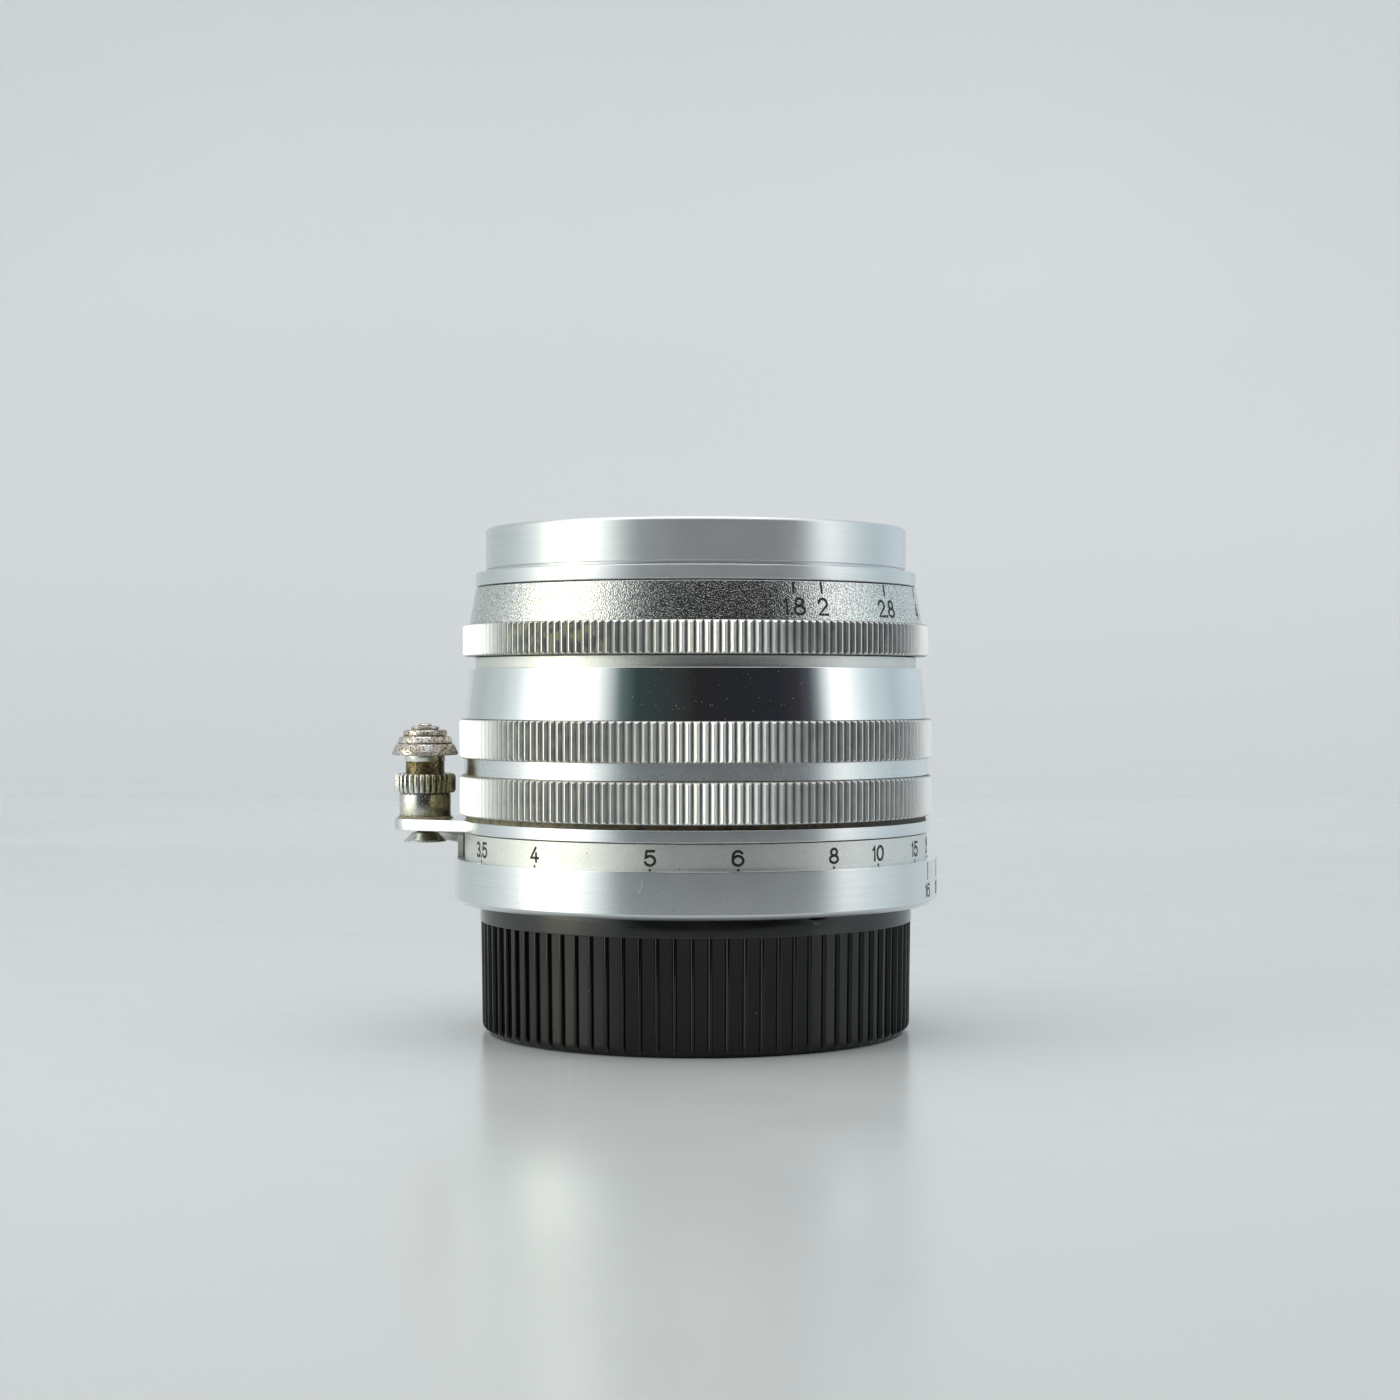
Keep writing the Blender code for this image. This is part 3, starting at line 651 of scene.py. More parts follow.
# Each sign is (width, strokes), on a height of 1, drawn with a round nib along the stroke lines.
SIGNS = {
    "0": (0.68, [loop(0.34, 0.5, 0.34, 0.5, 90, 450, 28)]),
    "1": (0.24, [[(0.0, 0.76), (0.17, 1.0), (0.17, 0.0)]]),
    "2": (0.66, [loop(0.33, 0.70, 0.31, 0.30, 170, -25, 14) + [(0.0, 0.0), (0.66, 0.0)]]),
    "3": (0.64, [loop(0.30, 0.75, 0.27, 0.25, 150, -80, 14) + loop(0.31, 0.27, 0.33, 0.27, 85, -155, 16)]),
    "4": (0.70, [[(0.70, 0.27), (0.0, 0.27), (0.46, 1.0)], [(0.50, 0.60), (0.50, 0.0)]]),
    "5": (0.74, [[(0.68, 1.0), (0.14, 1.0), (0.08, 0.54)] + loop(0.38, 0.33, 0.36, 0.33, 135, -160, 20)]),
    "6": (0.74, [loop(0.37, 0.62, 0.36, 0.38, 38, 180, 12) + loop(0.37, 0.33, 0.37, 0.33, 180, 540, 26)]),
    "8": (0.70, [loop(0.35, 0.76, 0.26, 0.24, -90, 270, 22), loop(0.35, 0.26, 0.35, 0.26, 90, 450, 24)]),
    ".": (0.10, [[(0.05, 0.0), (0.05, 0.03)]]),
    "inf": (1.1, [[(0.55 + 0.52 * sin(t) / (1 + cos(t) ** 2),
                    0.45 + 0.62 * sin(t) * cos(t) / (1 + cos(t) ** 2))
                   for t in [2 * pi * i / 36 for i in range(37)]]]),
}


def stroke(shape, path, width, wrap, proud):
    """Raised line with round ends along a path of (across, up) in mm; wrap puts it on its surface."""
    half = width / 2
    spine = [Vector(p) for p in path]
    sides = []
    for i, here in enumerate(spine):
        before = (here - spine[i - 1]).normalized() if i else (spine[1] - here).normalized()
        after = (spine[i + 1] - here).normalized() if i < len(spine) - 1 else before
        way = (before + after).normalized() if (before + after).length > 0.3 else after
        reach = half / max(0.6, abs(way.dot(after)))
        sides.append((Vector((-way.y, way.x)) * reach, way))
    left = [here + side[0] for here, side in zip(spine, sides)]
    right = [here - side[0] for here, side in zip(spine, sides)]

    def fan(centre, side, way):
        turn = [side * cos(pi * k / 6) + way * half * sin(pi * k / 6) for k in range(1, 6)]
        return [centre + p for p in turn]

    start = fan(spine[0], -sides[0][0], -sides[0][1])
    finish = fan(spine[-1], sides[-1][0], sides[-1][1])

    def lift(p, height):
        return shape.verts.new(wrap(p.x, p.y, height))

    top_left = [lift(p, proud) for p in left]
    top_right = [lift(p, proud) for p in right]
    top_start = [lift(p, proud) for p in start]
    top_end = [lift(p, proud) for p in finish]
    for i in range(len(spine) - 1):
        shape.faces.new((top_right[i], top_right[i + 1], top_left[i + 1], top_left[i]))
    shape.faces.new([top_right[0]] + [top_left[0]] + top_start[::-1])
    shape.faces.new([top_left[-1]] + [top_right[-1]] + top_end[::-1])
    rim = top_right + top_end[::-1] + top_left[::-1] + top_start[::-1]
    flat = right + finish[::-1] + left[::-1] + start[::-1]
    base = [lift(p, -0.03) for p in flat]
    for i in range(len(rim)):
        j = (i + 1) % len(rim)
        shape.faces.new((rim[i], base[i], base[j], rim[j]))


def on_ring(radius_at, azimuth, height):
    """Wrap for strokes: across runs round the ring, up along it, both from one place in mm."""
    def wrap(across, up, proud):
        radius = radius_at(height + up)
        return point(radius + proud, azimuth + degrees(across / radius), height + up)
    return wrap


def label(shape, text, size, width, wrap_at, gap=0.22):
    """Centred row of signs of one height, in strokes of one width."""
    names = [text] if text in SIGNS else list(text)
    across = []
    total = 0.0
    for name in names:
        space = gap * (0.80 if name == "." or (across and names[len(across) - 1] == ".") else 1.0)
        total += space if across else 0.0
        across.append(total)
        total += SIGNS[name][0]
    for start, name in zip(across, names):
        for path in SIGNS[name][1]:
            line = [((start + x - total / 2) * size, (y - 0.5) * size) for x, y in path]
            stroke(shape, line, width, wrap_at, 0.012)


def marks_mesh(draw):
    """Mesh of the marks that draw(shape) adds."""
    shape = bmesh.new()
    draw(shape)
    return closed_mesh(shape)


def scale_radius(height):
    """Radius of the aperture scale's cone at a height."""
    share = (height - SCALE_LOW) / (SCALE_TOP - SCALE_LOW)
    return SCALE_LOW_R + (SCALE_TOP_R - SCALE_LOW_R) * share


DISTANCES = (("3.5", -63.1), ("4", -40.6), ("5", -10.4), ("6", 9.7), ("8", 33.8), ("10", 48.2),
             ("15", 66.6), ("25", 81.1), ("50", 91.7), ("inf", 102.3))
DEPTHS = (("16", 33.1), ("11", 22.8), ("8", 16.6), ("5.6", 11.6), ("4", 8.3))
APERTURES = (("1.8", 24.1), ("2", 31.9), ("2.8", 54.2), ("4", 75.0), ("5.6", 95.6), ("8", 116.0),
             ("11", 136.0), ("16", 156.0))

# Scratches as (azimuth, height, length, lean from upright in degrees).
SCRATCHES = ((-11.9, 16.1, 1.3, 12), (-12.6, 15.6, 0.6, -14), (6.9, 15.0, 0.5, -50),
             (-7.4, 15.7, 0.6, 20), (21.6, 15.1, 0.45, 60), (-43.0, 14.7, 0.4, 35))


def distance_marks(shape):
    """Distances in feet round the distance ring, each with a dot under it."""
    for text, azimuth in DISTANCES:
        label(shape, text, 1.31, 0.25, on_ring(lambda z: DISTANCE_RING_R, azimuth, 18.60))
        dot = on_ring(lambda z: DISTANCE_RING_R, azimuth, 17.50)
        stroke(shape, [(0.0, -0.04), (0.0, 0.04)], 0.22, dot, 0.012)


def depth_marks(shape):
    """Depth-of-field lines and apertures to both sides of the focusing index."""
    for text, offset in DEPTHS:
        for azimuth in (INDEX_AZIMUTH - offset, INDEX_AZIMUTH + offset):
            wrap = on_ring(lambda z: DEPTH_RING_R, azimuth, 16.45)
            stroke(shape, [(0.0, -0.8), (0.0, 0.8)], 0.14, wrap, 0.012)
            if text != "5.6":
                label(shape, text, 1.2, 0.17, on_ring(lambda z: DEPTH_RING_R, azimuth, 14.57))
    wrap = on_ring(lambda z: DEPTH_RING_R, INDEX_AZIMUTH, 16.45)
    stroke(shape, [(0.0, -1.2), (0.0, 0.8)], 0.2, wrap, 0.012)


def aperture_marks(shape):
    """Apertures round the aperture ring's cone, each with a line above it."""
    for text, azimuth in APERTURES:
        label(shape, text, 1.47, 0.25, on_ring(scale_radius, azimuth, 41.72))
        stroke(shape, [(0.0, -0.46), (0.0, 0.44)], 0.23, on_ring(scale_radius, azimuth, 43.50), 0.012)


def scratch_marks(shape):
    """Fine scratches on the depth ring."""
    for azimuth, height, length, lean in SCRATCHES:
        half = (0.5 * length * sin(radians(lean)), 0.5 * length * cos(radians(lean)))
        wrap = on_ring(lambda z: DEPTH_RING_R, azimuth, height)
        stroke(shape, [(-half[0], -half[1]), (0.15 * half[1], 0.0), half], 0.065, wrap, 0.004)


def index_mark(shape):
    """Line on the index ring that the apertures are set against."""
    stroke(shape, [(0.0, -0.45), (0.0, 0.4)], 0.18, on_ring(lambda z: INDEX_RING_R, INDEX_AZIMUTH, 44.85),
           0.012)


# ---------------------------------------------------------------- pieces

KNURL_COUNT = 185
KNURL_KNOTS = ((0.0, 0.0), (0.05, 0.02), (0.46, 0.97), (0.50, 1.0), (0.54, 0.97), (0.95, 0.02))


def knurl_rows(radius, low, high, depth=0.28, slope=0.24):
    """Rows of a knurled band whose teeth are cut back at both ends, listed from top to bottom."""
    return [(radius - depth, high, 0.0, 0.0), (radius, high - slope, depth, slope * 0.9),
            (radius, low + slope, depth, -slope * 0.9), (radius - depth, low, 0.0, 0.0)]


def build_cap(plastic, collar):
    """Rear cap: a ribbed band with a smooth collar above it."""
    knots = ((0.0, 1.0), (0.03, 0.50), (0.12, 0.06), (0.16, 0.0), (0.20, 0.0), (0.25, 0.08), (0.285, 0.35),
             (0.31, 1.0), (0.55, 1.0), (0.80, 1.0))
    columns = toothed(81, -1.52, knots)
    rows = [(20.6, 11.4), (21.40, 11.4), (21.50, 11.05, 0.33, 0.0), (21.42, 6.0, 0.33, 0.0),
            (21.36, 0.95, 0.33, 0.0), (21.31, 0.68, 0.31, 0.0), (21.15, 0.52, 0.20, 0.0),
            (20.98, 0.45, 0.06, 0.0), (20.90, 0.30), (20.72, 0.10), (20.45, 0.0), (20.2, 0.0), (20.2, 1.0),
            (20.6, 1.4)]
    piece("cap_ribs", ring(rows, columns), plastic, "cap", ["rear_cap"])
    rows = [(0.4, 1.8), (19.6, 1.8), (19.85, 1.95), (19.9, 2.2), (19.9, 12.7), (20.1, CAP_TOP),
            (CAP_R - 0.21, CAP_TOP), (CAP_R - 0.07, CAP_TOP - 0.05), (CAP_R, CAP_TOP - 0.18), (CAP_R, 11.22),
            (CAP_R - 0.04, 11.12), (21.40, 11.08), (20.5, 11.08), (20.5, 0.3), (20.3, 0.02), (19.2, 0.02),
            (19.0, 0.15), (0.4, 0.15)]
    shell = ring(rows, even(360), closed=False)
    # A chip out of the collar's top edge, to the right of the front.
    chip_azimuth, chip_half, chip_depth = 31.6, 3.9, 0.34
    for vertex in shell.vertices:
        place = vertex.co / MM
        away = degrees(atan2(place.x, -place.y)) - chip_azimuth
        if place.z > CAP_TOP - 0.3 and hypot(place.x, place.y) > 21.0 and abs(away) < chip_half:
            vertex.co.z -= chip_depth * (1 - (away / chip_half) ** 2) * MM
    piece("cap_shell", shell, collar, "cap", ["rear_cap"])


def build_mount(chrome, dull, brass):
    """Depth-of-field ring with a notch for the catch, and the threaded base behind it."""
    notch_half = 6.4
    columns = []
    for i in range(ROUND):
        azimuth = -180.0 + 360.0 * i / ROUND
        columns.append((azimuth, 1.0 if abs(azimuth - LOCK_AZIMUTH) < notch_half else 0.0))
    for side in (-1, 1):
        columns += [(LOCK_AZIMUTH + side * notch_half, 1.0), (LOCK_AZIMUTH + side * (notch_half + 0.03), 0.0)]
    columns.sort()
    top = DEPTH_RING_TOP
    rows = [(DEPTH_RING_R, top - 0.13, 0.0, -0.42), (DEPTH_RING_R - 0.02, top - 0.04, 0.0, -0.5),
            (23.99, top, 0.76, -0.53), (23.97, top, 0.76, 0.0), (23.2, top), (23.18, top - 0.03),
            (23.18, 17.1), (23.0, 17.1), (23.0, 14.15), (19.9, 14.15), (19.9, FLANGE), (23.50, FLANGE),
            (23.56, FLANGE + 0.02), (24.07, 13.44), (DEPTH_RING_R, 13.50)]
    piece("depth_ring", ring(rows, columns), chrome, "mount", ["depth_scale_ring"])

    rows = [(22.7, 15.3), (22.7, 14.4), (19.2, 14.4), (19.0, 14.2)]
    steps = 60
    rows += [(19.5, 14.1 - 5.2 * i / steps, 0.5, 0.0) for i in range(steps + 1)]
    rows += [(18.95, 8.7), (18.85, 8.6), (18.7, 8.6), (18.7, 15.3)]
    piece("mount_thread", ring(rows, even(192), thread(CAMERA_PITCH)), brass, "mount",
          ["lens_base"], crisp=50.0)
    fine_copy("retaining_ring", brass, "mount")
    build_catch(dull, brass)


def build_catch(dull, corroded):
    """Catch block that stands on the depth ring, and its arm under the lever tab."""
    block = arc(23.80, -185.4, -174.6, 12) + arc(23.27, -174.6, -185.4, 12)
    mesh = flat_outline([block], 17.0, 19.62, 0.06)
    piece("catch_block", mesh, dull, "mount", ["infinity_catch"])
    hook = [(-23.72, -1.9), (-23.72, 2.1), (-24.7, 3.9), (-27.6, 3.9), (-27.6, 2.47)]
    hook += [p for p in arc(2.5, 95, 20, 12, (-LOCK_R, 0.0)) if p[0] > -27.5]
    arm = flat_outline([hook], 18.8, 19.6, 0.06)
    piece("catch_arm", arm, dull, "mount", ["infinity_catch"])
    lump = bmesh.new()
    bmesh.ops.create_icosphere(lump, subdivisions=4, radius=0.30 * MM)
    for vertex in lump.verts:
        vertex.co *= 1.0 + 0.35 * noise.noise(vertex.co / MM * 4.0)
        vertex.co.z *= 0.8
        vertex.co += point(23.56, LOCK_AZIMUTH + 5.2, 17.28)
    piece("catch_corrosion", closed_mesh(lump), corroded, "mount", ["infinity_catch"])


def build_focus(mirror, chrome, knurl, satin, grease, lock_metals):
    """Focusing grip with its two knurls and cone, the distance ring, the lever ring and the lock."""
    columns = toothed(KNURL_COUNT, 0.35, KNURL_KNOTS)
    bands = (("grip_knurl_upper", 27.26, CONE_LOW - 0.06), ("grip_knurl_lower", GRIP_LOW + 0.04, 25.55))
    for name, low, high in bands:
        rows = [(22.9, high - 0.1)] + knurl_rows(KNURL_R, low, high) + [(22.9, low + 0.1)]
        piece(name, ring(rows, columns), knurl, "focus_ring", ["focus_grip"], crisp=25.0)
    body = [(21.3, 29.9), (19.45, 29.9), (19.45, 31.12), (23.1, 31.12), (23.18, 31.02), (23.18, 21.75),
            (22.9, GRIP_LOW), (21.3, GRIP_LOW)]
    piece("grip_body", ring(body, even()), chrome, "focus_ring", ["focus_grip"])
    packed = [(23.04, 21.68), (22.96, 21.5), (23.04, 21.12), (21.35, 21.12), (21.35, 21.68)]
    piece("grip_grease", ring(packed, even()), grease, "focus_ring", ["focus_grip"])
    # Thin dark ring in the bottom corner of the waist groove, just above the lower knurl.
    line = [(23.205, 25.635), (23.205, 25.56), (22.6, 25.56), (22.6, 25.635)]
    piece("waist_dark_line", ring(line, even()), grease, "focus_ring", ["focus_grip"])
    cone = [(CONE_LOW_R, CONE_LOW - 0.02), (CONE_TOP_R + 0.02, CONE_TOP - 0.08),
            (CONE_TOP_R - 0.03, CONE_TOP), (NECK_R + 0.24, CONE_TOP), (NECK_R + 0.2, CONE_TOP - 0.05),
            (NECK_R + 0.2, 31.15), (CONE_LOW_R - 0.1, 31.15)]
    piece("grip_cone", ring(cone, even(320)), mirror, "focus_ring", ["focus_grip"])
    scale = soften([(DISTANCE_RING_R, DISTANCE_RING_TOP), (DISTANCE_RING_R, DISTANCE_RING_LOW),
                    (22.85, DISTANCE_RING_LOW), (22.85, 17.65), (21.3, 17.65), (21.3, DISTANCE_RING_TOP)],
                   0.04)
    piece("distance_ring", ring(scale, even()), satin, "focus_ring",
          ["distance_scale_ring"])
    build_lever(chrome)
    build_lock(*lock_metals)


def build_lever(chrome):
    """Ring with a tapered tab at the left that carries the infinity lock."""
    lean = radians(TAB_TAPER)
    root = 21.9
    reach = LOCK_R - root
    half = (TAB_END_R + reach * sin(lean)) / cos(lean)
    slope = sin(lean) / cos(lean)
    # Where the tab's straight side meets the ring.
    step = 0.0
    while hypot(root + step, half - step * slope) < LEVER_R:
        step += 0.002
    corner = (-(root + step), half - step * slope)
    meet = degrees(atan2(corner[1], corner[0]))
    outline = arc(LEVER_R, meet, -360.0 + 2 * (180.0 - meet) + meet, 200)
    outline += arc(TAB_END_R, 270 - TAB_TAPER, 90 + TAB_TAPER, 28, (-LOCK_R, 0.0))
    bore = arc(21.3, 0, 358, 179)
    hole = arc(1.15, 0, 350, 35, (-LOCK_R, 0.0))
    mesh = flat_outline([outline, bore, hole], LEVER_LOW, LEVER_TOP, 0.06)
    piece("lever_plate", mesh, chrome, "focus_ring", ["lever_ring"])


def build_spring(steel, post):
    """Wire coil inside the lock barrel. In the lens it closes up as the button is pressed; here it is one
    rigid shape that rides on the focusing ring.
    """
    low, high, turns, per_turn, sides = 21.5, 24.45, 4, 36, 12
    coil_radius, wire_radius = 1.5, 0.15
    count = turns * per_turn
    shape = bmesh.new()
    loops = []
    for i in range(count + 1):
        turn = 2 * pi * i / per_turn
        middle = low + wire_radius + (high - low - 2 * wire_radius) * i / count
        around = []
        for k in range(sides):
            away = 2 * pi * k / sides
            radius = coil_radius + wire_radius * cos(away)
            place = Vector((radius * cos(turn), radius * sin(turn), middle + wire_radius * sin(away)))
            around.append(shape.verts.new(place * MM))
        loops.append(around)
    for one, two in zip(loops, loops[1:]):
        for k in range(sides):
            shape.faces.new((one[k], two[k], two[(k + 1) % sides], one[(k + 1) % sides]))
    shape.faces.new(loops[0])
    shape.faces.new(loops[-1])
    spring = piece("lock_spring_fine", closed_mesh(shape), steel, "focus_ring", ["lock_spring"],
                   post)
    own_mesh(spring)


def build_lock(nickel, rusted, stem, grease, steel):
    """Infinity lock: knurled collar on a barrel, and a button whose stem runs down to the foot."""
    post = point(LOCK_R, LOCK_AZIMUTH, 0.0)
    build_spring(steel, post)
    packed = [(2.86, LEVER_TOP - 0.05), (2.80, LEVER_TOP + 0.05), (2.60, LEVER_TOP + 0.22),
              (2.3, LEVER_TOP + 0.22), (2.3, LEVER_TOP - 0.05)]
    piece("lock_grease", ring(packed, even(96)), grease, "focus_ring", ["lock_barrel"], post)
    barrel = soften([(2.57, 23.6), (2.57, 21.3), (2.2, 21.3), (2.2, 23.6)], 0.08)
    piece("lock_barrel_fine", ring(barrel, even(96)), nickel, "focus_ring",
          ["lock_barrel"], post)
    flute_count, per_flute = 31, 8
    knots = [(i / per_flute, ((1 - cos(2 * pi * i / per_flute)) / 2) ** 2.4) for i in range(per_flute)]
    flutes = toothed(flute_count, 0.0, knots)
    collar = [(2.2, 25.66), (2.62, 25.66), (2.92, 25.58, 0.08, 0.0), (3.06, 25.36, 0.30, 0.0),
              (3.06, 23.96, 0.30, 0.0), (2.92, 23.74, 0.08, 0.0), (2.62, 23.66), (2.2, 23.66)]
    piece("lock_collar_fine", ring(collar, flutes), nickel, "focus_ring",
          ["lock_collar"], post)
    plunger = [(0.02, 19.2), (0.85, 19.2), (0.85, 24.6), (1.90, 24.6), (1.93, 24.63), (1.93, 26.85),
               (1.0, 26.9), (1.0, 28.5), (0.02, 28.5)]
    piece("lock_stem_fine", ring(plunger, even(64), closed=False), stem, "lock_button",
          ["lock_stem"], post)
    band = [(1.96, 26.84), (2.0, 26.9), (2.0, 27.42), (1.0, 27.44), (1.0, 26.84)]
    piece("lock_stem_band", ring(band, even(64)), nickel, "lock_button", ["lock_stem"], post)
    tiers = [(0.02, 30.66), (0.40, 30.65), (0.60, 30.58), (0.68, 30.48), (0.62, 30.41), (0.70, 30.39),
             (1.26, 30.36), (1.40, 30.28), (1.44, 30.14), (1.32, 30.05), (1.44, 30.03), (2.04, 29.99),
             (2.18, 29.86), (2.22, 29.50), (2.08, 29.38), (2.16, 29.36), (2.46, 29.33), (2.60, 29.18),
             (2.76, 28.72), (2.62, 28.61), (2.72, 28.60), (2.86, 28.56), (2.98, 28.42), (3.26, 27.80),
             (3.32, 27.58), (3.24, 27.48), (1.25, 27.46), (1.25, 28.75), (0.02, 28.75)]
    dome = ring(tiers, even(128), closed=False)
    for vertex in dome.vertices:
        place = vertex.co / MM
        if place.z > 27.5 and hypot(place.x, place.y) > 0.3:
            pit = noise.noise(place * 3.1) * 0.015 + max(0.0, noise.noise(place * 6.3) - 0.25) * 0.06
            vertex.co -= Vector((place.x, place.y, 0.6 * place.z - 16.4)).normalized() * pit * MM
    piece("lock_dome_fine", dome, rusted, "lock_button", ["lock_dome"], post)
    foot = [(0.02, 19.0), (1.05, 19.0), (1.05, 19.72), (1.25, 19.72), (1.36, 19.62), (1.92, 19.06),
            (2.12, 18.96), (2.16, 18.88), (2.05, 18.78), (1.6, 18.75), (0.02, 18.75)]
    piece("lock_foot_fine", ring(foot, even(64), closed=False), nickel, "lock_button",
          ["lock_foot"], post)


def build_head(chrome, satin, black, aluminium, brass):
    """Head barrel, index ring, front rim, the turned parts round the glasses, and the cam tube."""
    sleeve = soften([(19.3, 44.5), (19.3, NECK_TOP), (NECK_R, NECK_TOP), (NECK_R, 32.4), (21.4, 32.4),
                     (21.4, 36.2), (19.1, 36.2), (19.1, 20.0), (18.3, 20.0), (18.3, 9.0), (16.9, 9.0),
                     (16.9, 26.4), (17.6, 26.4), (17.6, 44.5)], 0.05)
    barrel = ring(sleeve, even())
    slot = flat_outline([[(-1.75, 15.5), (1.75, 15.5), (1.75, 20.0), (-1.75, 20.0)]], 8.0, 15.3,
                        0.01)
    piece("barrel_fine", cut(barrel, slot), satin, "lens_head", ["head_barrel"])

    ledge = soften([(INDEX_RING_R, INDEX_TOP), (INDEX_RING_R, SCALE_TOP + 0.1), (19.55, SCALE_TOP + 0.1),
                    (19.55, INDEX_TOP)], 0.18)
    piece("index_ledge", ring(ledge, even()), chrome, "lens_head", ["index_ring"])

    rim = [(20.45, FRONT), (RIM_R - 0.25, FRONT), (RIM_R - 0.05, FRONT - 0.18), (RIM_R, FRONT - 0.32),
           (RIM_R, RIM_LOW + 0.06), (RIM_R - 0.06, RIM_LOW), (20.7, RIM_LOW), (20.7, INDEX_TOP + 0.1),
           (18.0, INDEX_TOP + 0.1), (18.0, 46.5), (20.1, 46.5), (20.1, 46.75)]
    steps = 52
    rim += [(20.02, 46.8 + 2.6 * i / steps, -0.26, 0.0) for i in range(steps + 1)]
    rim += [(20.1, 49.55)]
    piece("front_rim_fine", ring(rim, even(240), thread(FILTER_PITCH)), chrome, "lens_head",
          ["front_rim"], crisp=50.0)

    for node in ("name_ring", "front_retainer", "front_pair_retainer", "rear_pair_retainer", "rear_retainer"):
        fine_copy(node, black, "lens_head")
    for node in ("front_cell", "rear_cell"):
        fine_copy(node, aluminium, "lens_head")
    fine_copy("rangefinder_cam", brass, "lens_head")


def glass_face(vertex, bend, edge_r, side, steps=16):
    """Points of a spherical face from the axis to its edge; side -1 falls away from the vertex."""
    path = []
    for i in range(steps + 1):
        r = max(0.02, edge_r * i / steps)
        path.append((r, vertex + side * (bend - (bend * bend - r * r) ** 0.5)))
    return path


def build_glasses(glass):
    """Six glasses: a single one at each end and two cemented pairs between them."""
    hollow = glass_face(33.4, 22.0, 9.0, -1)
    rear_hollow = glass_face(23.6, 23.4, 9.0, 1)
    bulge = glass_face(18.5, 20.0, 10.6, 1)
    shapes = {
        "front_element": glass_face(45.6, 30.0, 14.3, -1) + [(14.3, 39.15), (0.02, 39.15)],
        "front_pair_upper": glass_face(38.2, 28.0, 12.4, -1) + [(12.4, 34.4), (0.02, 34.4)],
        "front_pair_lower": [(0.02, 34.15), (12.4, 34.15), (12.4, 31.5)] + hollow[::-1],
        "rear_pair_upper": rear_hollow + [(10.6, 25.4), (10.6, 22.45), (0.02, 22.45)],
        "rear_pair_lower": [(0.02, 22.2), (10.6, 22.2)] + bulge[::-1],
        "rear_element": glass_face(17.9, 40.0, 11.3, -1) + glass_face(13.5, 90.0, 11.3, 1)[::-1],
    }
    for node, rows in shapes.items():
        piece(node + "_fine", ring(rows, even(128), closed=False), glass, "lens_head",
              [node])


def build_aperture(knurl, satin, brass):
    """Aperture ring, knurled below and conical above, with the hole for the driver's screw."""
    columns = toothed(KNURL_COUNT, 0.9, KNURL_KNOTS)
    rows = [(19.6, 40.42), (22.7, 40.42)]
    rows += knurl_rows(APERTURE_KNURL_R, APERTURE_LOW + 0.02, SCALE_LOW - 0.05)
    rows += [(22.8, APERTURE_LOW), (19.6, APERTURE_LOW)]
    hole = rod(0.75, 3.0, outward(21.3, DRIVER_AZIMUTH, DRIVER_HEIGHT))
    band = cut(ring(rows, columns), hole)
    piece("aperture_knurl", band, knurl, "aperture", ["aperture_ring"], crisp=25.0)
    cone = soften([(SCALE_TOP_R, SCALE_TOP), (SCALE_LOW_R, SCALE_LOW), (SCALE_LOW_R, 40.43), (19.6, 40.43),
                   (19.6, SCALE_TOP)], 0.06)
    piece("aperture_cone", ring(cone, even()), satin, "aperture", ["aperture_ring"])
    driver = cut(respun("iris_driver"), rod(0.5, 2.5, outward(15.5, DRIVER_AZIMUTH, DRIVER_HEIGHT)))
    piece("iris_driver_fine", driver, brass, "aperture", ["iris_driver"])


# ---------------------------------------------------------------- studio

# The studio's glow round the lens, as (azimuth, red, green, blue): a bright panel to the left, a dim
# room in front, and to the right a window that starts above table height.
GLOW_PEAK = 3.2
GLOW = ((-180, 0.60, 0.68, 0.68), (-129, 0.50, 0.56, 0.54), (-108, 0.64, 0.71, 0.72), (-97, 0.90, 0.95, 0.95),
        (-88, 1.35, 1.40, 1.35), (-80, 2.50, 2.55, 2.00), (-75, 3.10, 3.20, 2.40), (-66, 2.90, 2.95, 2.40),
        (-58, 2.20, 2.25, 2.00), (-52, 1.60, 1.65, 1.58), (-46, 1.10, 1.15, 1.12), (-41, 0.60, 0.66, 0.65),
        (-36, 0.13, 0.18, 0.18), (-28, 0.04, 0.06, 0.06), (-8, 0.038, 0.043, 0.042), (1, 0.023, 0.023, 0.024),
        (38, 0.023, 0.025, 0.031))
GLOW_HIGH = GLOW + ((44, 0.03, 0.03, 0.036), (50, 0.04, 0.04, 0.045), (56, 0.08, 0.09, 0.10),
                    (60, 0.26, 0.30, 0.31), (65, 0.85, 0.90, 0.90), (70, 1.45, 1.45, 1.43),
                    (75, 1.55, 1.58, 1.55), (81, 1.15, 1.22, 1.20), (88, 0.85, 0.95, 0.97),
                    (95, 0.67, 0.78, 0.80), (112, 0.50, 0.60, 0.63), (134, 0.63, 0.72, 0.76),
                    (180, 0.60, 0.68, 0.68))
GLOW_LOW = GLOW + ((44, 0.05, 0.055, 0.06), (54, 0.12, 0.15, 0.16), (64, 0.30, 0.33, 0.34),
                   (71, 0.60, 0.64, 0.63), (83, 0.72, 0.80, 0.82), (96, 0.64, 0.75, 0.78),
                   (112, 0.50, 0.60, 0.63), (134, 0.60, 0.68, 0.72), (180, 0.60, 0.68, 0.68))


def glow_ramp(share, stops):
    """Colour of the glow at a share of the full turn that starts at the back."""
    made = add(share.id_data, "ShaderNodeValToRGB", Fac=share)
    points = made.color_ramp.elements
    for azimuth, *colour in stops[1:-1]:
        points.new((azimuth + 180.0) / 360.0)
    for stop, (azimuth, *colour) in zip(points, stops):
        stop.position = (azimuth + 180.0) / 360.0
        stop.color = (*[c / GLOW_PEAK for c in colour], 1.0)
    return made.outputs["Color"]


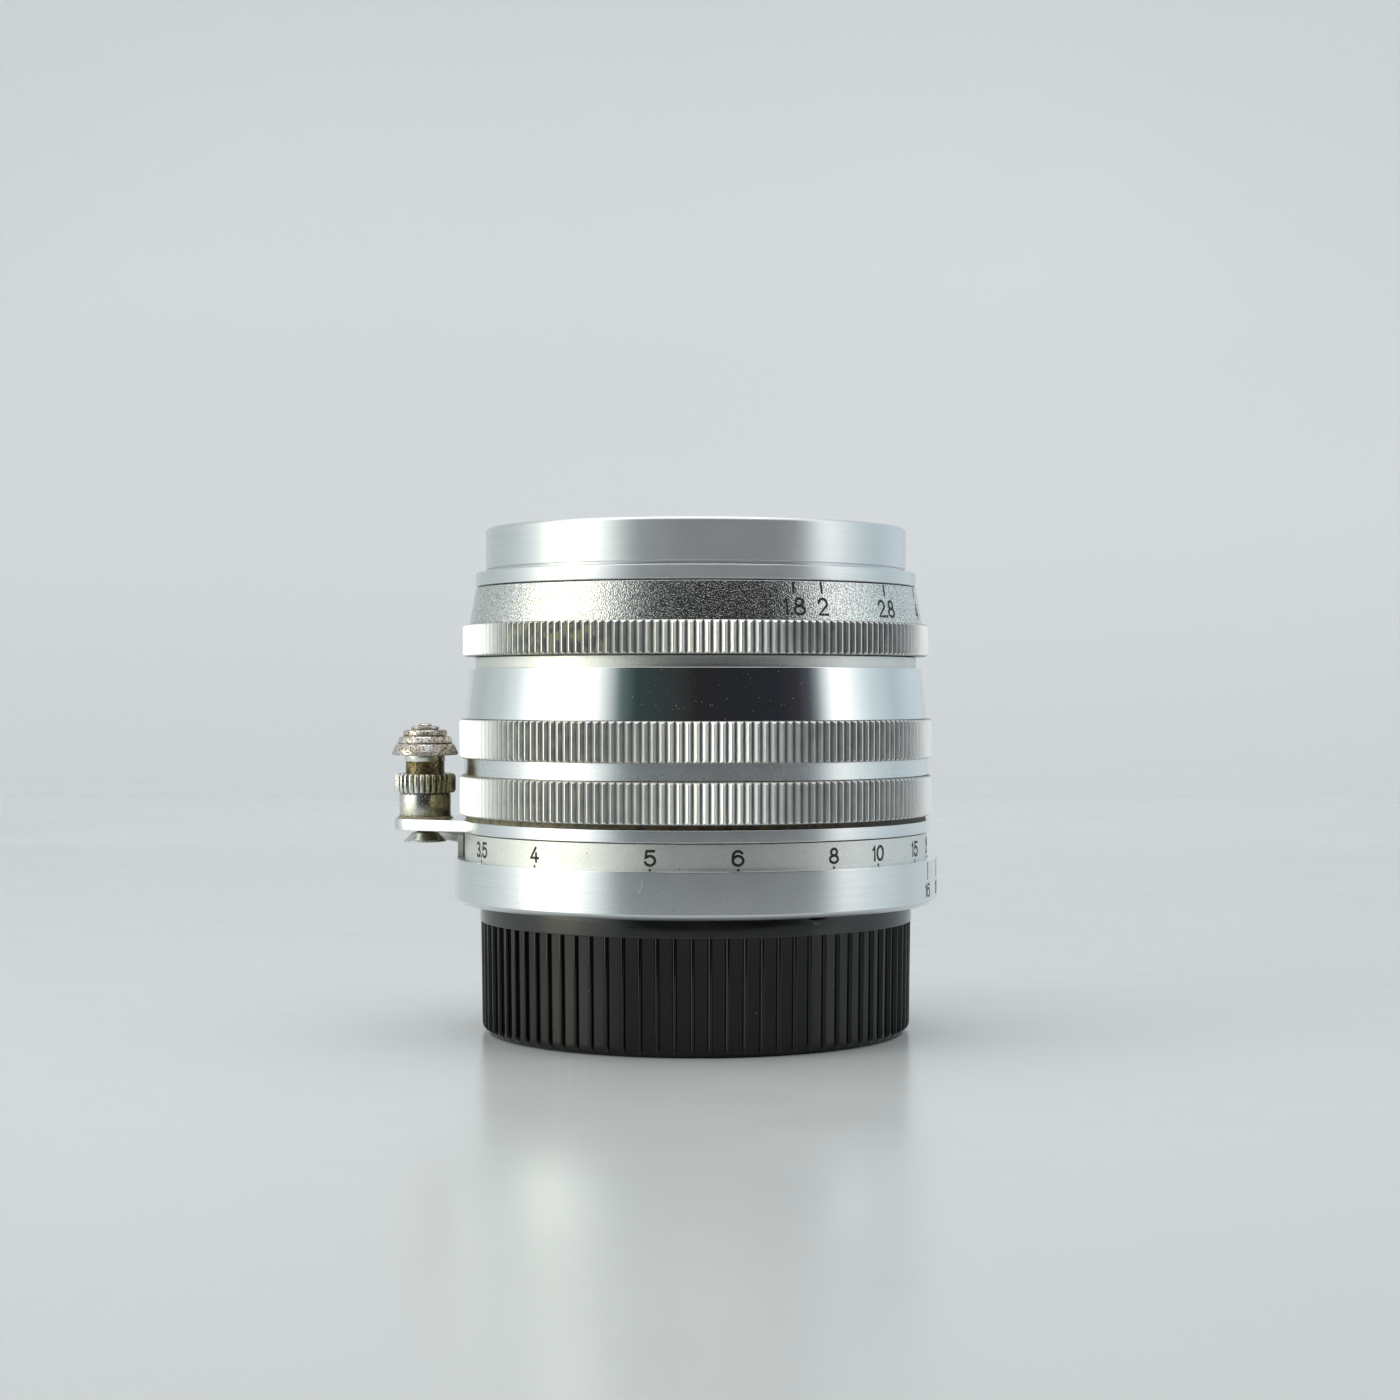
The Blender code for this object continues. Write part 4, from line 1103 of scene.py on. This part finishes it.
def build_surround():
    """Glowing wall round the lens that only its reflections and light show."""
    made = bpy.data.materials.new("surround_glow")
    made.use_nodes = True
    tree = made.node_tree
    tree.nodes.clear()
    parts = parts_of(place_of(tree))
    turn = maths("ARCTAN2", parts["X"], times(parts["Y"], -1.0))
    share = maths("MULTIPLY_ADD", turn, 0.5 / pi, 0.5)
    colour = mix(span(parts["Z"], 0.018, 0.040), glow_ramp(share, GLOW_LOW), glow_ramp(share, GLOW_HIGH))
    glow = add(tree, "ShaderNodeEmission", Color=colour, Strength=GLOW_PEAK)
    add(tree, "ShaderNodeOutputMaterial", Surface=glow.outputs[0])

    radius, low, high = 0.34, 0.002, 0.30
    count = 100
    corners = []
    for i in range(count + 1):
        turn = radians(-150.0 + 300.0 * i / count)
        corners += [(radius * sin(turn), -radius * cos(turn), height) for height in (low, high)]
    faces = [(2 * i, 2 * i + 2, 2 * i + 3, 2 * i + 1) for i in range(count)]
    studio_piece("surround", corners, faces, made, seen=False)


def studio_piece(name, corners, faces, surface_material, seen=True):
    """Mesh of the studio, in metres. It is no part of the lens."""
    mesh = bpy.data.meshes.new(name)
    mesh.from_pydata(corners, [], faces)
    mesh.materials.append(surface_material)
    mesh.shade_smooth()
    item = bpy.data.objects.new(name, mesh)
    bpy.context.scene.collection.objects.link(item)
    item.visible_camera = seen
    return item


def build_studio():
    """Table that curves up into a wall behind the lens, the glow round it, a lamp above and the sky."""
    bend_from, bend = 0.55, 0.35
    angles = [radians(a) for a in range(6, 91, 6)]
    sweep = [(-1.6, 0.0), (bend_from, 0.0)]
    sweep += [(bend_from + bend * sin(a), bend - bend * cos(a)) for a in angles]
    sweep += [(bend_from + bend, 1.6)]
    corners = [(x, y, z) for y, z in sweep for x in (-2.0, 2.0)]
    faces = [(2 * i, 2 * i + 1, 2 * i + 3, 2 * i + 2) for i in range(len(sweep) - 1)]
    studio_piece("table_sweep", corners, faces, pale_table())
    build_surround()
    dark = surface("dark_card", (0.020, 0.021, 0.022), 0.9, 0.0, Specular_IOR_Level=0.0)[0]
    flag = [(-0.10, -0.14, 0.0012), (0.28, -0.14, 0.0012), (0.33, -0.33, 0.0012), (-0.19, -0.33, 0.0012)]
    card = studio_piece("floor_flag", flag, [(0, 1, 2, 3)], dark, seen=False)
    card.visible_diffuse = False
    card.visible_shadow = False

    lamp = bpy.data.lights.new("top_light", "AREA")
    lamp.shape = "RECTANGLE"
    lamp.size = 0.9
    lamp.size_y = 0.9
    lamp.energy = 2.65
    top = bpy.data.objects.new("top_light", lamp)
    top.location = (-0.05, 0.05, 0.85)
    bpy.context.scene.collection.objects.link(top)

    world = bpy.data.worlds.new("studio")
    bpy.context.scene.world = world
    world.use_nodes = True
    sky = world.node_tree.nodes["Background"]
    sky.inputs["Color"].default_value = (0.965, 0.985, 1.0, 1.0)
    sky.inputs["Strength"].default_value = 0.97


def build_camera():
    """Camera of the photo: in front of the lens, a little above its middle, level but for a hair."""
    camera = bpy.data.cameras.new("camera")
    camera.sensor_width = 36.0
    camera.lens = 64.1
    camera.clip_start = 0.01
    item = bpy.data.objects.new("camera", camera)
    item.location = (0.00042, -0.2505, 0.0339)
    item.rotation_euler = (radians(90.0 - 0.208), 0.0, 0.0)
    bpy.context.scene.collection.objects.link(item)
    bpy.context.scene.camera = item


# ---------------------------------------------------------------- assembly

mirror = mirror_chrome()
chrome = turned_chrome()
satin = satin_chrome("satin_chrome_grain", 8200.0, (0.40, 0.40, 0.39), (0.98, 0.98, 0.97), 0.17, 0.20, 0.038)
fine_satin = satin_chrome("fine_satin_chrome", 11000.0, (0.74, 0.74, 0.725), (0.88, 0.88, 0.86),
                          0.41, 0.47, 0.006)
knurled = knurl_chrome("knurled_chrome", KNURL_R, 0.12)
knurled_high = knurl_chrome("knurled_chrome_upper", APERTURE_KNURL_R, 1.0)
nickel = worn_nickel("pitted_nickel", 0.60, 0.9)
rusted = worn_nickel("rusted_nickel", 0.512, 0.35)
frame_brass = aged_brass("turned_brass", (0.62, 0.46, 0.22), (0.42, 0.28, 0.12))
stem_brass = aged_brass("stem_brass", (0.30, 0.25, 0.14), (0.13, 0.10, 0.05), 0.42)
dull_chrome = plain_metal("dull_chrome", (0.84, 0.84, 0.83), 0.42, 0.52)
steel = plain_metal("turned_steel", (0.50, 0.50, 0.51), 0.25, 0.42)
aluminium = plain_metal("turned_aluminium", (0.70, 0.70, 0.71), 0.28, 0.44)
black = black_anodised()
# Two copies of one black plastic: the collar's has a paler base colour as painted light, the ribs' a darker
# one as painted shade.
plastic = cap_plastic("black_moulding", (0.0017, 0.0019, 0.0021), 1.46)
collar_plastic = cap_plastic("black_moulding_painted_lighter", (0.0085, 0.0088, 0.0088), 1.57)
glass = coated_glass()
filling = black_fill()
grease = old_grease()
leaf = blade_steel()

build_cap(plastic, collar_plastic)
build_mount(chrome, dull_chrome, frame_brass)
build_focus(mirror, chrome, knurled, fine_satin, grease, (nickel, rusted, stem_brass, grease, steel))
build_head(chrome, fine_satin, black, aluminium, frame_brass)
build_glasses(glass)
build_aperture(knurled_high, satin, frame_brass)

piece("distance_numbers", marks_mesh(distance_marks), filling, "focus_ring")
piece("depth_numbers", marks_mesh(depth_marks), filling, "mount")
piece("aperture_numbers", marks_mesh(aperture_marks), filling, "aperture")
piece("depth_ring_scratches", marks_mesh(scratch_marks), knurled, "mount")
piece("index_line", marks_mesh(index_mark), filling, "lens_head")

kept = {
    steel: ["base_screw_1", "base_screw_2", "base_screw_3", "driver_screw", "focus_stop_pin_infinity",
            "focus_stop_pin_near", "grip_screw_1", "grip_screw_2", "grip_screw_3", "guide_key",
            "guide_key_screw", "scale_screw_1", "scale_screw_2", "scale_screw_3"],
    frame_brass: ["helicoid_nut"],
    black: ["iris_housing"],
    leaf: [f"iris_blade_{i:02d}" for i in range(1, 11)],
}
for material, names in kept.items():
    for name in names:
        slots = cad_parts[name].data.materials
        slots.clear()
        slots.append(material)

build_studio()
build_camera()
bpy.context.scene.view_settings.view_transform = "Standard"
